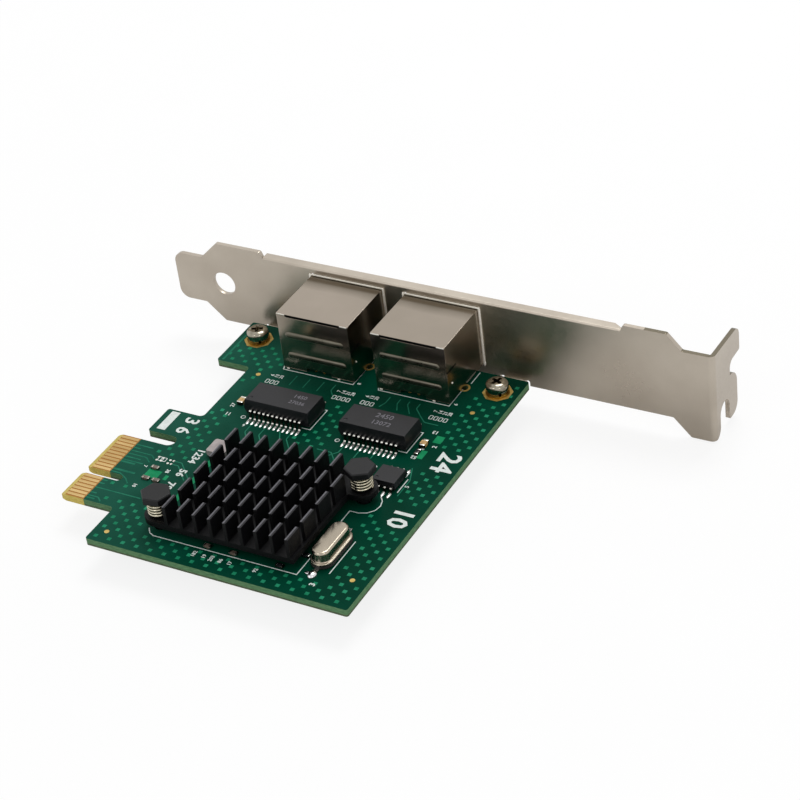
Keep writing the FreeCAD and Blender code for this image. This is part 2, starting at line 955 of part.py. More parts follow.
def light_pipes(side):
    """Indicator windows of both jacks; side is 0 for the left one and 1 for the right one."""
    front = jack_front - shield_thickness - housing_clearance
    pipes = []
    for left in jack_lefts:
        x0, x1 = light_spans(left)[side]
        pipes.append(block(x0, x1, front - light_depth, front,
                           light_floor(), light_floor() + light_height))
    return pipes


def solder_cone(x, y):
    """Faceted solder fillet round one contact pin."""
    def level(radius, z):
        return outline(octagon(radius, x, y), lambda u, v: point(u, v, z))
    foot = level(solder_joint_radius, under)
    tip = level(solder_tip_radius, under - solder_joint_height)
    half_x = jack_contact_width / 2
    half_y = jack_contact_thickness / 2
    pin = block(x - half_x, x + half_x, y - half_y, y + half_y, under - solder_joint_height - 1, under + 1)
    return Part.makeLoft([foot, tip], True).cut(pin)


def jack_pin_solder():
    return [solder_cone(x, y) for left in jack_lefts for x, y in jack_pins(left)]


# ---- isolation transformers and chips ----

def moulded_body(x, y, length, width, floor, waist, roof, draft):
    """Moulded package: widest at its parting line, drafted above and below it."""
    def level(inset, z):
        corners = rounded(x - length / 2 + inset, x + length / 2 - inset,
                          y - width / 2 + inset, y + width / 2 - inset, 0)
        return outline(corners, lambda u, v: point(u, v, z))
    lower = Part.makeLoft([level(draft, floor), level(0, waist)], True)
    upper = Part.makeLoft([level(0, waist), level(draft, roof)], True)
    return join([lower, upper])


def gull_lead(side, edge, waist, thickness, reach, foot):
    """Side view of a gull-wing lead that leaves the body at edge; side is 1 or -1."""
    knee = edge + side * reach
    path = [
        (edge, waist),
        (knee, waist),
        (knee, top + thickness / 2),
        (knee + side * foot, top + thickness / 2),
    ]
    return bent_strip(path, thickness, 0, 0)


def transformer_body(x):
    body = moulded_body(x, transformer_row, transformer_length, transformer_width,
                        top + transformer_standoff, top + transformer_waist_height,
                        top + transformer_height, transformer_draft)
    dimple = rod(marker_radius, x - transformer_length / 2 + marker_inset,
                 transformer_row - transformer_width / 2 + marker_inset,
                 top + transformer_height - marker_depth, top + transformer_height + 1)
    return body.cut(dimple)


def transformer_leads(x):
    leads = []
    half = transformer_lead_width / 2
    for side in (-1, 1):
        edge = transformer_row + side * transformer_width / 2
        corners = gull_lead(side, edge, top + transformer_waist_height, transformer_lead_thickness,
                            transformer_lead_reach, transformer_foot_length)
        for offset in row(transformer_lead_count, transformer_lead_pitch):
            leads.append(rail(corners, x + offset - half, x + offset + half))
    return leads


def memory_chip():
    x, y = memory_centre
    body = moulded_body(x, y, memory_width, memory_length, top + memory_standoff,
                        top + memory_waist_height, top + memory_height, memory_draft)
    dimple = rod(marker_radius * 0.7, x - memory_width / 2 + marker_inset * 0.8,
                 y - memory_length / 2 + marker_inset * 0.8,
                 top + memory_height - marker_depth, top + memory_height + 1)
    return body.cut(dimple)


def memory_leads():
    x, y = memory_centre
    leads = []
    half = memory_lead_width / 2
    for side in (-1, 1):
        edge = y + side * memory_length / 2
        corners = gull_lead(side, edge, top + memory_waist_height, memory_lead_thickness,
                            memory_lead_reach, memory_foot_length)
        for offset in row(memory_lead_count, memory_lead_pitch):
            leads.append(rail(corners, x + offset - half, x + offset + half))
    return leads


def controller_chip():
    half = controller_size / 2
    floor = top + controller_standoff
    return block(sink_centre_x - half, sink_centre_x + half, sink_centre_y - half,
                 sink_centre_y + half, floor, floor + controller_height)


def controller_pads():
    """Solder pads round the edge of the controller's underside."""
    pads = []
    half = controller_pad_width / 2
    edge = controller_size / 2
    for offset in row(controller_pad_count, controller_pad_pitch):
        pad = block(sink_centre_x + offset - half, sink_centre_x + offset + half,
                    sink_centre_y - edge, sink_centre_y - edge + controller_pad_length,
                    top, top + controller_standoff)
        for quarter in range(4):
            turned = pad.copy()
            turned.rotate(point(sink_centre_x, sink_centre_y, 0), point(0, 0, 1), 90 * quarter)
            pads.append(turned)
    return pads


def thermal_pad():
    half = thermal_pad_size / 2
    floor = top + controller_standoff + controller_height
    return block(sink_centre_x - half, sink_centre_x + half, sink_centre_y - half,
                 sink_centre_y + half, floor, floor + thermal_pad_thickness)


# ---- heat sink and its push pins ----

def heat_sink():
    """Base with two ears at opposite corners and rows of short cross-cut fins."""
    base = [block(sink_left, sink_right, sink_near, sink_far, sink_floor, sink_deck)]
    for x, y in pin_places:
        base.append(rod(ear_radius, x, y, sink_floor, sink_deck))
        base.append(block(min(x, sink_centre_x), max(x, sink_centre_x), y - ear_radius,
                          y + ear_radius, sink_floor, sink_deck))
    body = join(base)
    roof = sink_deck + fin_height
    fins = []
    for column in range(fin_columns):
        x = sink_left + fin_margin + column * fin_pitch
        for line in range(fin_rows):
            if column == fin_columns - 1 and line == fin_rows - 1:
                continue
            y = sink_near + line * fin_row_pitch
            fins.append(block(x, x + fin_thickness, y, y + fin_length, sink_deck, roof))
    body = join([body] + fins)
    holes = [rod(ear_hole_radius, x, y, sink_floor - 1, sink_deck + 1) for x, y in pin_places]
    return body.cut(holes)


def hexagon(radius, x, y, turn):
    angles = [math.radians(turn + 60 * index) for index in range(6)]
    return [(x + radius * math.cos(angle), y + radius * math.sin(angle), 0) for angle in angles]


def push_pin(x, y, turn):
    """Plastic pin: hexagonal head, shank through ear and board, split barb below."""
    roof = pin_head_floor + pin_head_height
    head = slab(hexagon(pin_head_radius, x, y, turn), pin_head_floor, roof)
    rims = [edge for edge in head.Edges if abs(edge.BoundBox.ZMin - roof) < 1e-6]
    head = head.makeChamfer(pin_head_chamfer, rims)
    shank = rod(pin_shank_radius, x, y, under, pin_head_floor)
    barb = Part.makeCone(pin_barb_radius, pin_tip_radius, pin_barb_height,
                         point(x, y, under), point(0, 0, -1))
    half = pin_split_width / 2
    split = block(x - half, x + half, y - pin_barb_radius - 1, y + pin_barb_radius + 1,
                  under - pin_barb_height - 1, under - 0.2)
    return join([head, shank, barb]).cut(split)


def push_pins():
    turns = [10, 30]
    return [push_pin(x, y, turn) for (x, y), turn in zip(pin_places, turns)]


def pin_spring(x, y):
    """Compression spring between the ear and the head of a push pin."""
    height = spring_length - 2 * spring_wire_radius
    helix = Part.makeHelix(height / spring_turns, height, spring_radius)
    section = [(spring_radius + u, v, 0) for u, v, _ in hexagon(spring_wire_radius, 0, 0, 0)]
    wire = outline(section, lambda u, v: point(u, 0, v))
    coil = Part.Wire(helix).makePipeShell([wire], True, True)
    coil.translate(point(x, y, sink_deck + spring_wire_radius))
    return coil


# ---- crystal and small parts ----

def crystal_oval(inset):
    half_x = crystal_width / 2 - inset
    half_y = crystal_length / 2 - inset
    return rounded(crystal_centre_x - half_x, crystal_centre_x + half_x,
                   crystal_centre_y - half_y, crystal_centre_y + half_y, half_x)


def crystal_seat():
    return top + crystal_lead_thickness + crystal_base_height


def crystal_base():
    return slab(crystal_oval(0), top + crystal_lead_thickness, crystal_seat())


def crystal_can():
    """Drawn metal can with a welded flange."""
    flange_roof = crystal_seat() + crystal_flange_height
    rim = slab(crystal_oval(0), crystal_seat(), flange_roof)
    roof = top + crystal_height
    can = slab(crystal_oval(crystal_can_inset), crystal_seat(), roof)
    edges = [edge for edge in can.Edges if abs(edge.BoundBox.ZMin - roof) < 1e-6]
    can = can.makeFillet(crystal_top_radius, edges)
    return join([rim, can])


def crystal_leads():
    half = crystal_lead_width / 2
    reach = crystal_length / 2 + crystal_lead_overhang
    leads = []
    for side in (-1, 1):
        inner = crystal_centre_y + side * crystal_length / 4
        outer = crystal_centre_y + side * reach
        leads.append(block(crystal_centre_x - half, crystal_centre_x + half,
                           min(inner, outer), max(inner, outer), top, top + crystal_lead_thickness))
    return leads


def power_inductor():
    half = inductor_size / 2
    corners = rounded(inductor_centre_x - half, inductor_centre_x + half,
                      inductor_row - half, inductor_row + half, inductor_corner_radius)
    floor = top + inductor_foot_height
    return slab(corners, floor, top + inductor_height)


def inductor_feet():
    half = inductor_size / 2 - inductor_corner_radius
    feet = []
    for side in (-1, 1):
        inner = inductor_row + side * (half - inductor_foot_width)
        outer = inductor_row + side * half
        feet.append(block(inductor_centre_x - half, inductor_centre_x + half,
                          min(inner, outer), max(inner, outer), top, top + inductor_foot_height))
    return feet


def chip_part(x, y, length, width, height, along_y, level):
    """Body and two metal ends of a chip part on the board face at level (1 top, -1 under)."""
    end = length * chip_end_share
    body = block(-length / 2 + end, length / 2 - end, -width / 2, width / 2, 0, height)
    ends = [
        block(-length / 2, -length / 2 + end, -width / 2, width / 2, 0, height),
        block(length / 2 - end, length / 2, -width / 2, width / 2, 0, height),
    ]
    for shape in [body] + ends:
        if along_y:
            shape.rotate(point(0, 0, 0), point(0, 0, 1), 90)
        z = top if level > 0 else under - height
        shape.translate(point(x, y, z))
    return body, ends


def place_chips(places, length, width, height):
    bodies = []
    ends = []
    for x, y, along_y, level in places:
        body, caps = chip_part(x, y, length, width, height, along_y, level)
        bodies.append(body)
        ends += caps
    return bodies, ends


def filter_capacitor_places():
    """Tan capacitors beside the transformers, and decoupling ones under the controller."""
    half = transformer_length / 2
    places = [
        (transformer_centres[0] - half - left_capacitor_gap, transformer_row, True, 1),
        (transformer_centres[1] + half + right_capacitor_gap, transformer_row, True, 1),
    ]
    for offset_x in row(2, decoupling_spacing_x):
        for offset_y in row(2, decoupling_spacing_y):
            places.append((sink_centre_x + offset_x, sink_centre_y + offset_y, True, -1))
    return places


def coupling_capacitor_places():
    """Small capacitors behind the fingers and along the near edge of the heat sink."""
    column = finger_shoulder + coupling_setback
    near = sink_near + near_part_inset
    return [
        (column, coupling_row + coupling_pitch, False, 1),
        (column, coupling_row, False, 1),
        (column + coupling_step, coupling_row, False, 1),
        (sink_left + first_near_offset, near, False, 1),
        (sink_left + second_near_offset, near, False, 1),
        (sink_centre_x, sink_centre_y + decoupling_reach, False, -1),
        (sink_centre_x, sink_centre_y - decoupling_reach, False, -1),
    ]


def chip_resistor_places():
    right_end = transformer_centres[1] + transformer_length / 2
    return [
        (right_end + right_capacitor_gap, transformer_row - terminator_drop, True, 1),
        (sink_left + third_near_offset, sink_near + near_part_inset, False, 1),
        (sink_right - near_part_inset, crystal_centre_y - crystal_part_drop, False, 1),
        (transformer_centres[0], jack_rear - bias_gap, False, -1),
        (transformer_centres[1], jack_rear - bias_gap, False, -1),
    ]


def test_points():
    crystal_side = crystal_centre_x + crystal_width / 2
    places = [
        (finger_shoulder + corner_point_inset_x, -free_edge_distance + corner_point_inset_y),
        (crystal_side + crystal_point_gap, crystal_centre_y - crystal_point_drop),
        (upper_edge_inset + shoulder_point_inset_x, shoulder_near - shoulder_point_inset_y),
        (screw_columns[1] - screw_point_inset_x, screw_row - screw_point_drop),
    ]
    return [rod(test_point_radius, x, y, top, top + pad_thickness) for x, y in places]


os.makedirs("parts", exist_ok=True)
save("circuit_board", [circuit_board()])
save("edge_contacts_front", edge_contacts(top, top + contact_plating))
save("edge_contacts_back", edge_contacts(under - contact_plating, under))
save("screw_pads", screw_pads())
save("shield_leg_pads", leg_pads())
save("test_points", test_points())
save("mounting_bracket", [mounting_bracket()])
save("bracket_screws", bracket_screws())
save("flat_washers", flat_washers())
save("lock_washers", lock_washers())
for jack_name, jack_left in zip(("left", "right"), jack_lefts):
    save("jack_shield_" + jack_name, [jack_shield(jack_left)])
    save("jack_housing_" + jack_name, [jack_housing(jack_left)])
    save("jack_contacts_" + jack_name, jack_contacts(jack_left))
save("link_lights", light_pipes(0))
save("activity_lights", light_pipes(1))
save("jack_pin_solder", jack_pin_solder())
for set_name, set_x in zip(("left", "right"), transformer_centres):
    save("transformer_body_" + set_name, [transformer_body(set_x)])
    save("transformer_leads_" + set_name, transformer_leads(set_x))
save("controller_chip", [controller_chip()])
save("controller_pads", controller_pads())
save("thermal_pad", [thermal_pad()])
save("heat_sink", [heat_sink()])
save("push_pins", push_pins())
save("push_pin_springs", [pin_spring(x, y) for x, y in pin_places])
save("crystal_base", [crystal_base()])
save("crystal_can", [crystal_can()])
save("crystal_leads", crystal_leads())
save("memory_chip", [memory_chip()])
save("memory_leads", memory_leads())
save("power_inductor", [power_inductor()])
save("inductor_feet", inductor_feet())
large_bodies, large_ends = place_chips(filter_capacitor_places(), large_chip_length,
                                       large_chip_width, large_chip_height)
small_bodies, small_ends = place_chips(coupling_capacitor_places(), small_chip_length,
                                       small_chip_width, small_chip_height)
resistor_bodies, resistor_ends = place_chips(chip_resistor_places(), small_chip_length,
                                             small_chip_width, small_chip_height)
save("filter_capacitors", large_bodies)
save("filter_capacitor_ends", large_ends)
save("coupling_capacitors", small_bodies)
save("coupling_capacitor_ends", small_ends)
save("chip_resistors", resistor_bodies)
save("chip_resistor_ends", resistor_ends)
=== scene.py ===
import json
import math

import bmesh
import bpy
from mathutils import Matrix, Vector


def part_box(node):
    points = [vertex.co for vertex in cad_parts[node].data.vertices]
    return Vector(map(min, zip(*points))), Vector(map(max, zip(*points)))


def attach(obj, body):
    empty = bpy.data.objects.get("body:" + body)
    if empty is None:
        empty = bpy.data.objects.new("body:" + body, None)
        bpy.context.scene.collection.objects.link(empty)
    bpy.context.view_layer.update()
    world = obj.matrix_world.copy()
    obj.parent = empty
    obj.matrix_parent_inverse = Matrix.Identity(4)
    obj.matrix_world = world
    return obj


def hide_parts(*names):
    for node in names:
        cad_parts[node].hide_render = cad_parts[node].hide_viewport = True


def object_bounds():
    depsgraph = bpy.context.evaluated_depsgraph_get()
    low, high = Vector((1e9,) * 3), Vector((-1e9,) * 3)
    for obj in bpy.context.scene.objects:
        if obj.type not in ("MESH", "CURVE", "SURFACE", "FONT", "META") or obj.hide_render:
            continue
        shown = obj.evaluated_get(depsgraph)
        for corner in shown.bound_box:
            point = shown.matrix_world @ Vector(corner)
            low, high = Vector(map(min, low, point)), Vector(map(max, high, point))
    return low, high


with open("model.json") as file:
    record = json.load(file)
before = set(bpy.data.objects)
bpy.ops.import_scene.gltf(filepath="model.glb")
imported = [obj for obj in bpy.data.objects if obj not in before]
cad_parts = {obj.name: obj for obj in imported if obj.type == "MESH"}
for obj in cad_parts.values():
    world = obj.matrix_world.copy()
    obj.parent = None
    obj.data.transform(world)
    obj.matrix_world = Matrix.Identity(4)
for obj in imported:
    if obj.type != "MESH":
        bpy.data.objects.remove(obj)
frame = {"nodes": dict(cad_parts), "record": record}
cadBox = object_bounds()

mm = 0.001
mergeGap = 0.0005 * mm  # vertices closer than this become one
middleGap = 0.001 * mm  # vertices this near the middle stay when two halves move apart
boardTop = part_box("circuit_board")[1].z
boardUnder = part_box("circuit_board")[0].z
lineLevel = boardTop - 0.005 * mm  # lines of ink and copper start just inside the board
print("frame loaded,", len(frame["nodes"]), "nodes")


# small helpers for colours and material nodes

def shade(r, g, b):
    # a colour as it shows on screen, turned linear for the shader
    channels = [c / 255 / 12.92 if c <= 10 else ((c / 255 + 0.055) / 1.055) ** 2.4 for c in (r, g, b)]
    return (*channels, 1)


def startFinish(name, roughness=0.5, metallic=0.0):
    finish = bpy.data.materials.new(name)
    finish.use_nodes = True
    tree = finish.node_tree
    shader = tree.nodes["Principled BSDF"]
    shader.inputs["Metallic"].default_value = metallic
    shader.inputs["Roughness"].default_value = roughness
    place = tree.nodes.new("ShaderNodeTexCoord")
    return finish, tree, shader, place.outputs["Object"]


def addNode(tree, kind, **inputs):
    node = tree.nodes.new(kind)
    for key, value in inputs.items():
        socket = node.inputs[int(key[1:])] if key[0] == "i" and key[1:].isdigit() else node.inputs[key]
        if isinstance(value, bpy.types.NodeSocket):
            tree.links.new(value, socket)
        else:
            socket.default_value = value
    return node


def addMath(tree, operation, first, second=0.0):
    node = addNode(tree, "ShaderNodeMath", i0=first, i1=second)
    node.operation = operation
    return node.outputs[0]


def addNoise(tree, place, scale, detail=4.0, stretch=(1, 1, 1)):
    if stretch != (1, 1, 1):
        place = addNode(tree, "ShaderNodeMapping", Vector=place, Scale=stretch).outputs[0]
    return addNode(tree, "ShaderNodeTexNoise", Vector=place, Scale=scale, Detail=detail).outputs["Fac"]


def addTones(tree, factor, dark, light, low=0.3, high=0.7):
    # a ramp between two colours, given as they show on screen
    node = addNode(tree, "ShaderNodeValToRGB", Fac=factor)
    for element, position, colour in zip(node.color_ramp.elements, (low, high), (dark, light)):
        element.position = position
        element.color = shade(*colour)
    return node.outputs["Color"]


def addRange(tree, value, low, high, fromLow=0.3, fromHigh=0.7):
    node = tree.nodes.new("ShaderNodeMapRange")
    tree.links.new(value, node.inputs["Value"])
    for key, number in (("From Min", fromLow), ("From Max", fromHigh), ("To Min", low), ("To Max", high)):
        node.inputs[key].default_value = number
    return node.outputs["Result"]


def addMix(tree, factor, first, second):
    node = tree.nodes.new("ShaderNodeMix")
    node.data_type = "RGBA"
    for socket, value in ((node.inputs[0], factor), (node.inputs[6], first), (node.inputs[7], second)):
        if isinstance(value, bpy.types.NodeSocket):
            tree.links.new(value, socket)
        else:
            socket.default_value = value
    return node.outputs[2]


def addBump(tree, shader, height, distance, strength):
    bump = addNode(tree, "ShaderNodeBump", Height=height, Strength=strength, Distance=distance)
    tree.links.new(bump.outputs[0], shader.inputs["Normal"])


def addUpright(tree):
    # how far a face looks up: 1 on a top, 0 on a wall, -1 underneath
    normal = tree.nodes.new("ShaderNodeTexCoord").outputs["Normal"]
    return addNode(tree, "ShaderNodeSeparateXYZ", Vector=normal).outputs["Z"]


def tint(tree, shader, colour, rough=None):
    tree.links.new(colour, shader.inputs["Base Color"])
    if rough:
        tree.links.new(rough, shader.inputs["Roughness"])


def grainFinish(name, look):
    # two close tones, a rougher and a smoother patch, and a fine grain
    finish, tree, shader, place = startFinish(name, metallic=look.get("metal", 0.0))
    stretch = look.get("stretch", (1, 1, 1))
    broad = addNoise(tree, place, look["patch"], 3.0, stretch)
    fine = addNoise(tree, place, look["grain"], 5.0, stretch)
    mixed = addMath(tree, "ADD", addMath(tree, "MULTIPLY", broad, 0.5), addMath(tree, "MULTIPLY", fine, 0.5))
    tint(tree, shader, addTones(tree, broad, look["dark"], look["light"]),
         addRange(tree, mixed, look["smooth"], look["rough"]))
    addBump(tree, shader, fine, look["depth"] * mm, look.get("strength", 0.4))
    if "specular" in look:
        shader.inputs["Specular IOR Level"].default_value = look["specular"]
    return finish


# finishes of the sheet metal, plastics and small parts: dark tone, light tone, scale of the patches and
# of the grain, smoothest and roughest, depth of the grain, and what is special

metalLooks = {
    "bracketNickel": ((168, 158, 145), (186, 177, 164), 60, 1400, 0.26, 0.42, 0.01),
    "shieldNickel": ((156, 146, 133), (166, 155, 142), 60, 900, 0.15, 0.21, 0.002, {"stretch": (1, 1, 0.25)}),
    # near white, a painted highlight on the lips and folded corners
    "lipHighlight": ((240, 234, 220), (250, 246, 236), 300, 1200, 0.2, 0.34, 0.002, {"metal": 0.1}),
    # the shield's nickel painted darker on the ribs, a painted shade
    "ribShadedNickel": ((96, 93, 82), (114, 110, 98), 300, 1200, 0.24, 0.36, 0.002),
    "screwNickel": ((124, 118, 104), (168, 162, 146), 900, 2400, 0.1, 0.2, 0.006),
    "washerBrass": ((116, 84, 30), (178, 138, 62), 700, 2400, 0.12, 0.26, 0.006),
    "contactPlating": ((176, 142, 86), (206, 176, 120), 500, 2600, 0.22, 0.4, 0.004,
                       {"stretch": (0.15, 1, 1)}),
    "padGold": ((182, 152, 78), (208, 180, 106), 900, 3000, 0.22, 0.42, 0.006, {"metal": 0.7}),
    "springWire": ((168, 160, 138), (208, 202, 182), 900, 4000, 0.12, 0.24, 0.003),
    "crystalCan": ((168, 158, 142), (174, 164, 148), 120, 700, 0.2, 0.22, 0.00005, {"stretch": (1, 0.2, 1)}),
    "dullTin": ((104, 100, 92), (178, 174, 164), 1500, 5000, 0.2, 0.4, 0.006),
    "brightSolder": ((196, 194, 196), (232, 230, 232), 1500, 3000, 0.08, 0.2, 0.02),
    "tinnedLead": ((206, 204, 196), (238, 237, 230), 1500, 5000, 0.14, 0.3, 0.006),
    "solderJoint": ((190, 190, 188), (232, 232, 228), 1300, 3600, 0.18, 0.4, 0.05, {"strength": 0.6}),
}
plainLooks = {
    "jackPlastic": ((24, 24, 26), (34, 34, 37), 300, 2500, 0.38, 0.55, 0.01),
    "greyCeramic": ((78, 68, 60), (108, 94, 82), 1500, 5000, 0.4, 0.55, 0.006),
    "slotShade": ((3, 3, 3), (8, 8, 7), 600, 2400, 0.6, 0.8, 0.004, {"specular": 0.04}),
    "pinPlastic": ((6, 6, 8), (13, 13, 15), 420, 3200, 0.36, 0.5, 0.008, {"specular": 0.26}),
    "mouldedPackage": ((13, 13, 16), (21, 21, 25), 340, 3800, 0.36, 0.5, 0.015, {"specular": 0.32}),
    "thermalRubber": ((138, 140, 146), (158, 160, 166), 500, 2600, 0.6, 0.8, 0.03),
    "crystalBase": ((28, 27, 26), (42, 40, 38), 600, 3000, 0.45, 0.6, 0.02),
    "ferriteBlock": ((148, 139, 138), (176, 167, 165), 700, 2600, 0.5, 0.72, 0.06, {"strength": 0.6}),
    "tanCeramic": ((178, 140, 84), (222, 186, 128), 1500, 5000, 0.32, 0.5, 0.02),
    "resistorGlaze": ((20, 20, 23), (32, 32, 36), 1500, 5000, 0.2, 0.36, 0.01),
    "silkInk": ((206, 214, 210), (228, 234, 231), 1800, 6000, 0.5, 0.7, 0.008),
    "packageInk": ((92, 90, 97), (112, 110, 117), 2200, 6000, 0.5, 0.7, 0.006),
    # solder mask over copper is a little lighter than over the bare laminate
    "maskedCopper": ((16, 112, 78), (40, 140, 104), 500, 2600, 0.24, 0.42, 0.008, {"specular": 0.04}),
    "maskedTrace": ((24, 100, 78), (44, 124, 98), 500, 2600, 0.24, 0.42, 0.008, {"specular": 0.04}),
    "brightMask": ((18, 128, 82), (36, 148, 98), 500, 2600, 0.24, 0.42, 0.008, {"specular": 0.04}),
}
lookKeys = ("dark", "light", "patch", "grain", "smooth", "rough", "depth", "special")
finishes = {}


def makeFinishes(looks, metal):
    for name, row in looks.items():
        look = {"metal": metal, **dict(zip(lookKeys, row))}
        look.update(look.pop("special", {}))
        finishes[name] = grainFinish(name, look)


makeFinishes(metalLooks, 1.0)
makeFinishes(plainLooks, 0.0)

boardLook = {"near": [(26, 78, 63), (34, 90, 74)], "far": [(0, 52, 37), (0, 63, 46)], "nearX": 2, "farX": 34,
             "core": [(78, 112, 80), (100, 136, 98)], "lowEdgeTones": [(70, 84, 62), (92, 104, 80)], "lowEdgeTop": -0.35,
             "bare": [(188, 168, 86), (208, 188, 108)], "under": (172, 120, 62),
             "fingerReach": 5.35, "fingerEnd": 12.4, "patch": 120, "grain": 2600, "weave": 900,
             "weaveStretch": (1, 1, 6), "wall": 0.5, "flat": 0.995, "smooth": 0.24, "rough": 0.4,
             "wallRough": 0.3, "specular": 0.02, "depth": 0.008, "strength": 0.3}


def boardFinish(look):
    # solder mask on both faces, lighter towards low x as painted light, bare laminate on the cut edges and
    # round the contacts
    finish, tree, shader, place = startFinish("solderMask")
    broad = addNoise(tree, place, look["patch"], 3.0)
    fine = addNoise(tree, place, look["grain"])
    weave = addNoise(tree, place, look["weave"], 2.0, look["weaveStretch"])
    spot = addNode(tree, "ShaderNodeSeparateXYZ", Vector=place)
    near, far = (addTones(tree, broad, *look[key], 0.3, 0.72) for key in ("near", "far"))
    core, lowEdgeTones, bare = (addTones(tree, weave, *look[key], 0.35, 0.65) for key in ("core", "lowEdgeTones", "bare"))
    # painted light: the mask fades from the lighter near tones at low x to the darker far tones
    paintedLightFade = addRange(tree, spot.outputs["X"], 0.0, 1.0, look["nearX"] * mm, look["farX"] * mm)
    # the cut edge is darker and greyer below a set level near the underside
    aboveLowEdge = addMath(tree, "GREATER_THAN", spot.outputs["Z"], look["lowEdgeTop"] * mm)
    upright = addMath(tree, "ABSOLUTE", addUpright(tree))
    wall = addMath(tree, "LESS_THAN", upright, look["wall"])
    flat = addMath(tree, "GREATER_THAN", upright, look["flat"])
    beforeReach = addMath(tree, "LESS_THAN", spot.outputs["X"], look["fingerReach"] * mm)
    beforeEnd = addMath(tree, "LESS_THAN", spot.outputs["Y"], look["fingerEnd"] * mm)
    faces = addMix(tree, wall, addMix(tree, paintedLightFade, near, far), addMix(tree, aboveLowEdge, lowEdgeTones, core))
    tips = addMix(tree, flat, bare, shade(*look["under"]))
    gloss = addRange(tree, fine, look["smooth"], look["rough"])
    rough = addMath(tree, "ADD", gloss, addMath(tree, "MULTIPLY", wall, look["wallRough"]))
    tint(tree, shader, addMix(tree, addMath(tree, "MULTIPLY", beforeReach, beforeEnd), faces, tips), rough)
    shader.inputs["Specular IOR Level"].default_value = look["specular"]
    addBump(tree, shader, addMath(tree, "ADD", fine, weave), look["depth"] * mm, look["strength"])
    return finish


lensLook = {"patch": 700, "clear": 0.35, "smooth": 0.18, "rough": 0.34}


def lensFinish(name, look, tones):
    finish, tree, shader, place = startFinish(name)
    cloud = addNoise(tree, place, look["patch"])
    tint(tree, shader, addTones(tree, cloud, *tones), addRange(tree, cloud, look["smooth"], look["rough"]))
    shader.inputs["Transmission Weight"].default_value = look["clear"]
    return finish


sinkLook = {"dark": (3, 3, 4), "light": (7, 7, 9), "finHighlight": (112, 111, 117), "highlightFrom": 7.9, "highlightTo": 7.975,
            "topFacing": 0.93, "finStart": 27.25, "finPitch": 3.3, "highlightWidth": 0.38, "highlightFade": 0.08,
            "highlightRest": 0.12, "highlightPatch": 0.55, "patch": 260, "grain": 2600, "smooth": 0.42, "rough": 0.6,
            "specular": 0.16, "depth": 0.012, "strength": 0.3}


def sinkFinish(look):
    # black anodising, with a painted highlight laid lighter along the tops of the fins
    finish, tree, shader, place = startFinish("blackAnodising")
    broad = addNoise(tree, place, look["patch"])
    fine = addNoise(tree, place, look["grain"], 5.0)
    black = addTones(tree, broad, look["dark"], look["light"])
    spot = addNode(tree, "ShaderNodeSeparateXYZ", Vector=place)
    top = addRange(tree, spot.outputs["Z"], 0.0, 1.0, look["highlightFrom"] * mm, look["highlightTo"] * mm)
    top = addMath(tree, "MULTIPLY", top, addMath(tree, "GREATER_THAN", addUpright(tree), look["topFacing"]))
    # the painted highlight lies along only one edge of each fin's top
    along = addMath(tree, "SUBTRACT", spot.outputs["X"], look["finStart"] * mm)
    across = addMath(tree, "FLOORED_MODULO", along, look["finPitch"] * mm)
    highlightEnd = (look["highlightWidth"] + look["highlightFade"]) * mm
    highlightEdge = addRange(tree, across, 1.0, look["highlightRest"], look["highlightWidth"] * mm, highlightEnd)
    finHighlight = addMath(tree, "MULTIPLY", top, highlightEdge)
    patchyHighlight = addMath(tree, "MULTIPLY", finHighlight, addRange(tree, fine, look["highlightPatch"], 1.0))
    tint(tree, shader, addMix(tree, patchyHighlight, black, shade(*look["finHighlight"])),
         addRange(tree, fine, look["smooth"], look["rough"]))
    shader.inputs["Specular IOR Level"].default_value = look["specular"]
    addBump(tree, shader, fine, look["depth"] * mm, look["strength"])
    return finish


# tones laid over part of a finish that is already made

roofBand = {"tone": (92, 84, 70), "fromY": 53.6, "toY": 56.6, "share": 0.7, "wave": 1.8, "patch": 130,
            "facing": 0.75}
tabRim = {"tone": (112, 105, 90), "fromX": 93.0, "facing": 0.75}
leadWallShade = {"tone": (62, 60, 52), "facing": 0.5}


def openFinish(name):
    tree = finishes[name].node_tree
    return tree, tree.nodes.new("ShaderNodeTexCoord").outputs["Object"]


def paintOver(tree, share, tone):
    shader = tree.nodes["Principled BSDF"]
    colour = shader.inputs["Base Color"].links[0].from_socket
    tint(tree, shader, addMix(tree, share, colour, shade(*tone)))


def shadeRoofs(name, look):
    # the roofs of the shields mirror the dark plate behind them in a soft, uneven band
    tree, place = openFinish(name)
    spot = addNode(tree, "ShaderNodeSeparateXYZ", Vector=place)
    wave = addMath(tree, "MULTIPLY", addNoise(tree, place, look["patch"], 1.0), look["wave"] * mm)
    along = addMath(tree, "ADD", spot.outputs["Y"], wave)
    band = addRange(tree, along, 0.0, look["share"], look["fromY"] * mm, look["toY"] * mm)
    roof = addMath(tree, "GREATER_THAN", addUpright(tree), look["facing"])
    paintOver(tree, addMath(tree, "MULTIPLY", band, roof), look["tone"])


def darkerTabRim(name, look):
    # the up-facing cut edge along the tab end of the bracket is given a darker tone than its faces
    tree, place = openFinish(name)
    spot = addNode(tree, "ShaderNodeSeparateXYZ", Vector=place)
    beyond = addMath(tree, "GREATER_THAN", spot.outputs["X"], look["fromX"] * mm)
    rim = addMath(tree, "GREATER_THAN", addUpright(tree), look["facing"])
    paintOver(tree, addMath(tree, "MULTIPLY", beyond, rim), look["tone"])


def shadeLeadWalls(name, look):
    # painted shade: the upright part of each lead is darkened, its shoulder and foot stay bright
    tree = finishes[name].node_tree
    upright = addMath(tree, "ABSOLUTE", addUpright(tree))
    paintOver(tree, addMath(tree, "LESS_THAN", upright, look["facing"]), look["tone"])


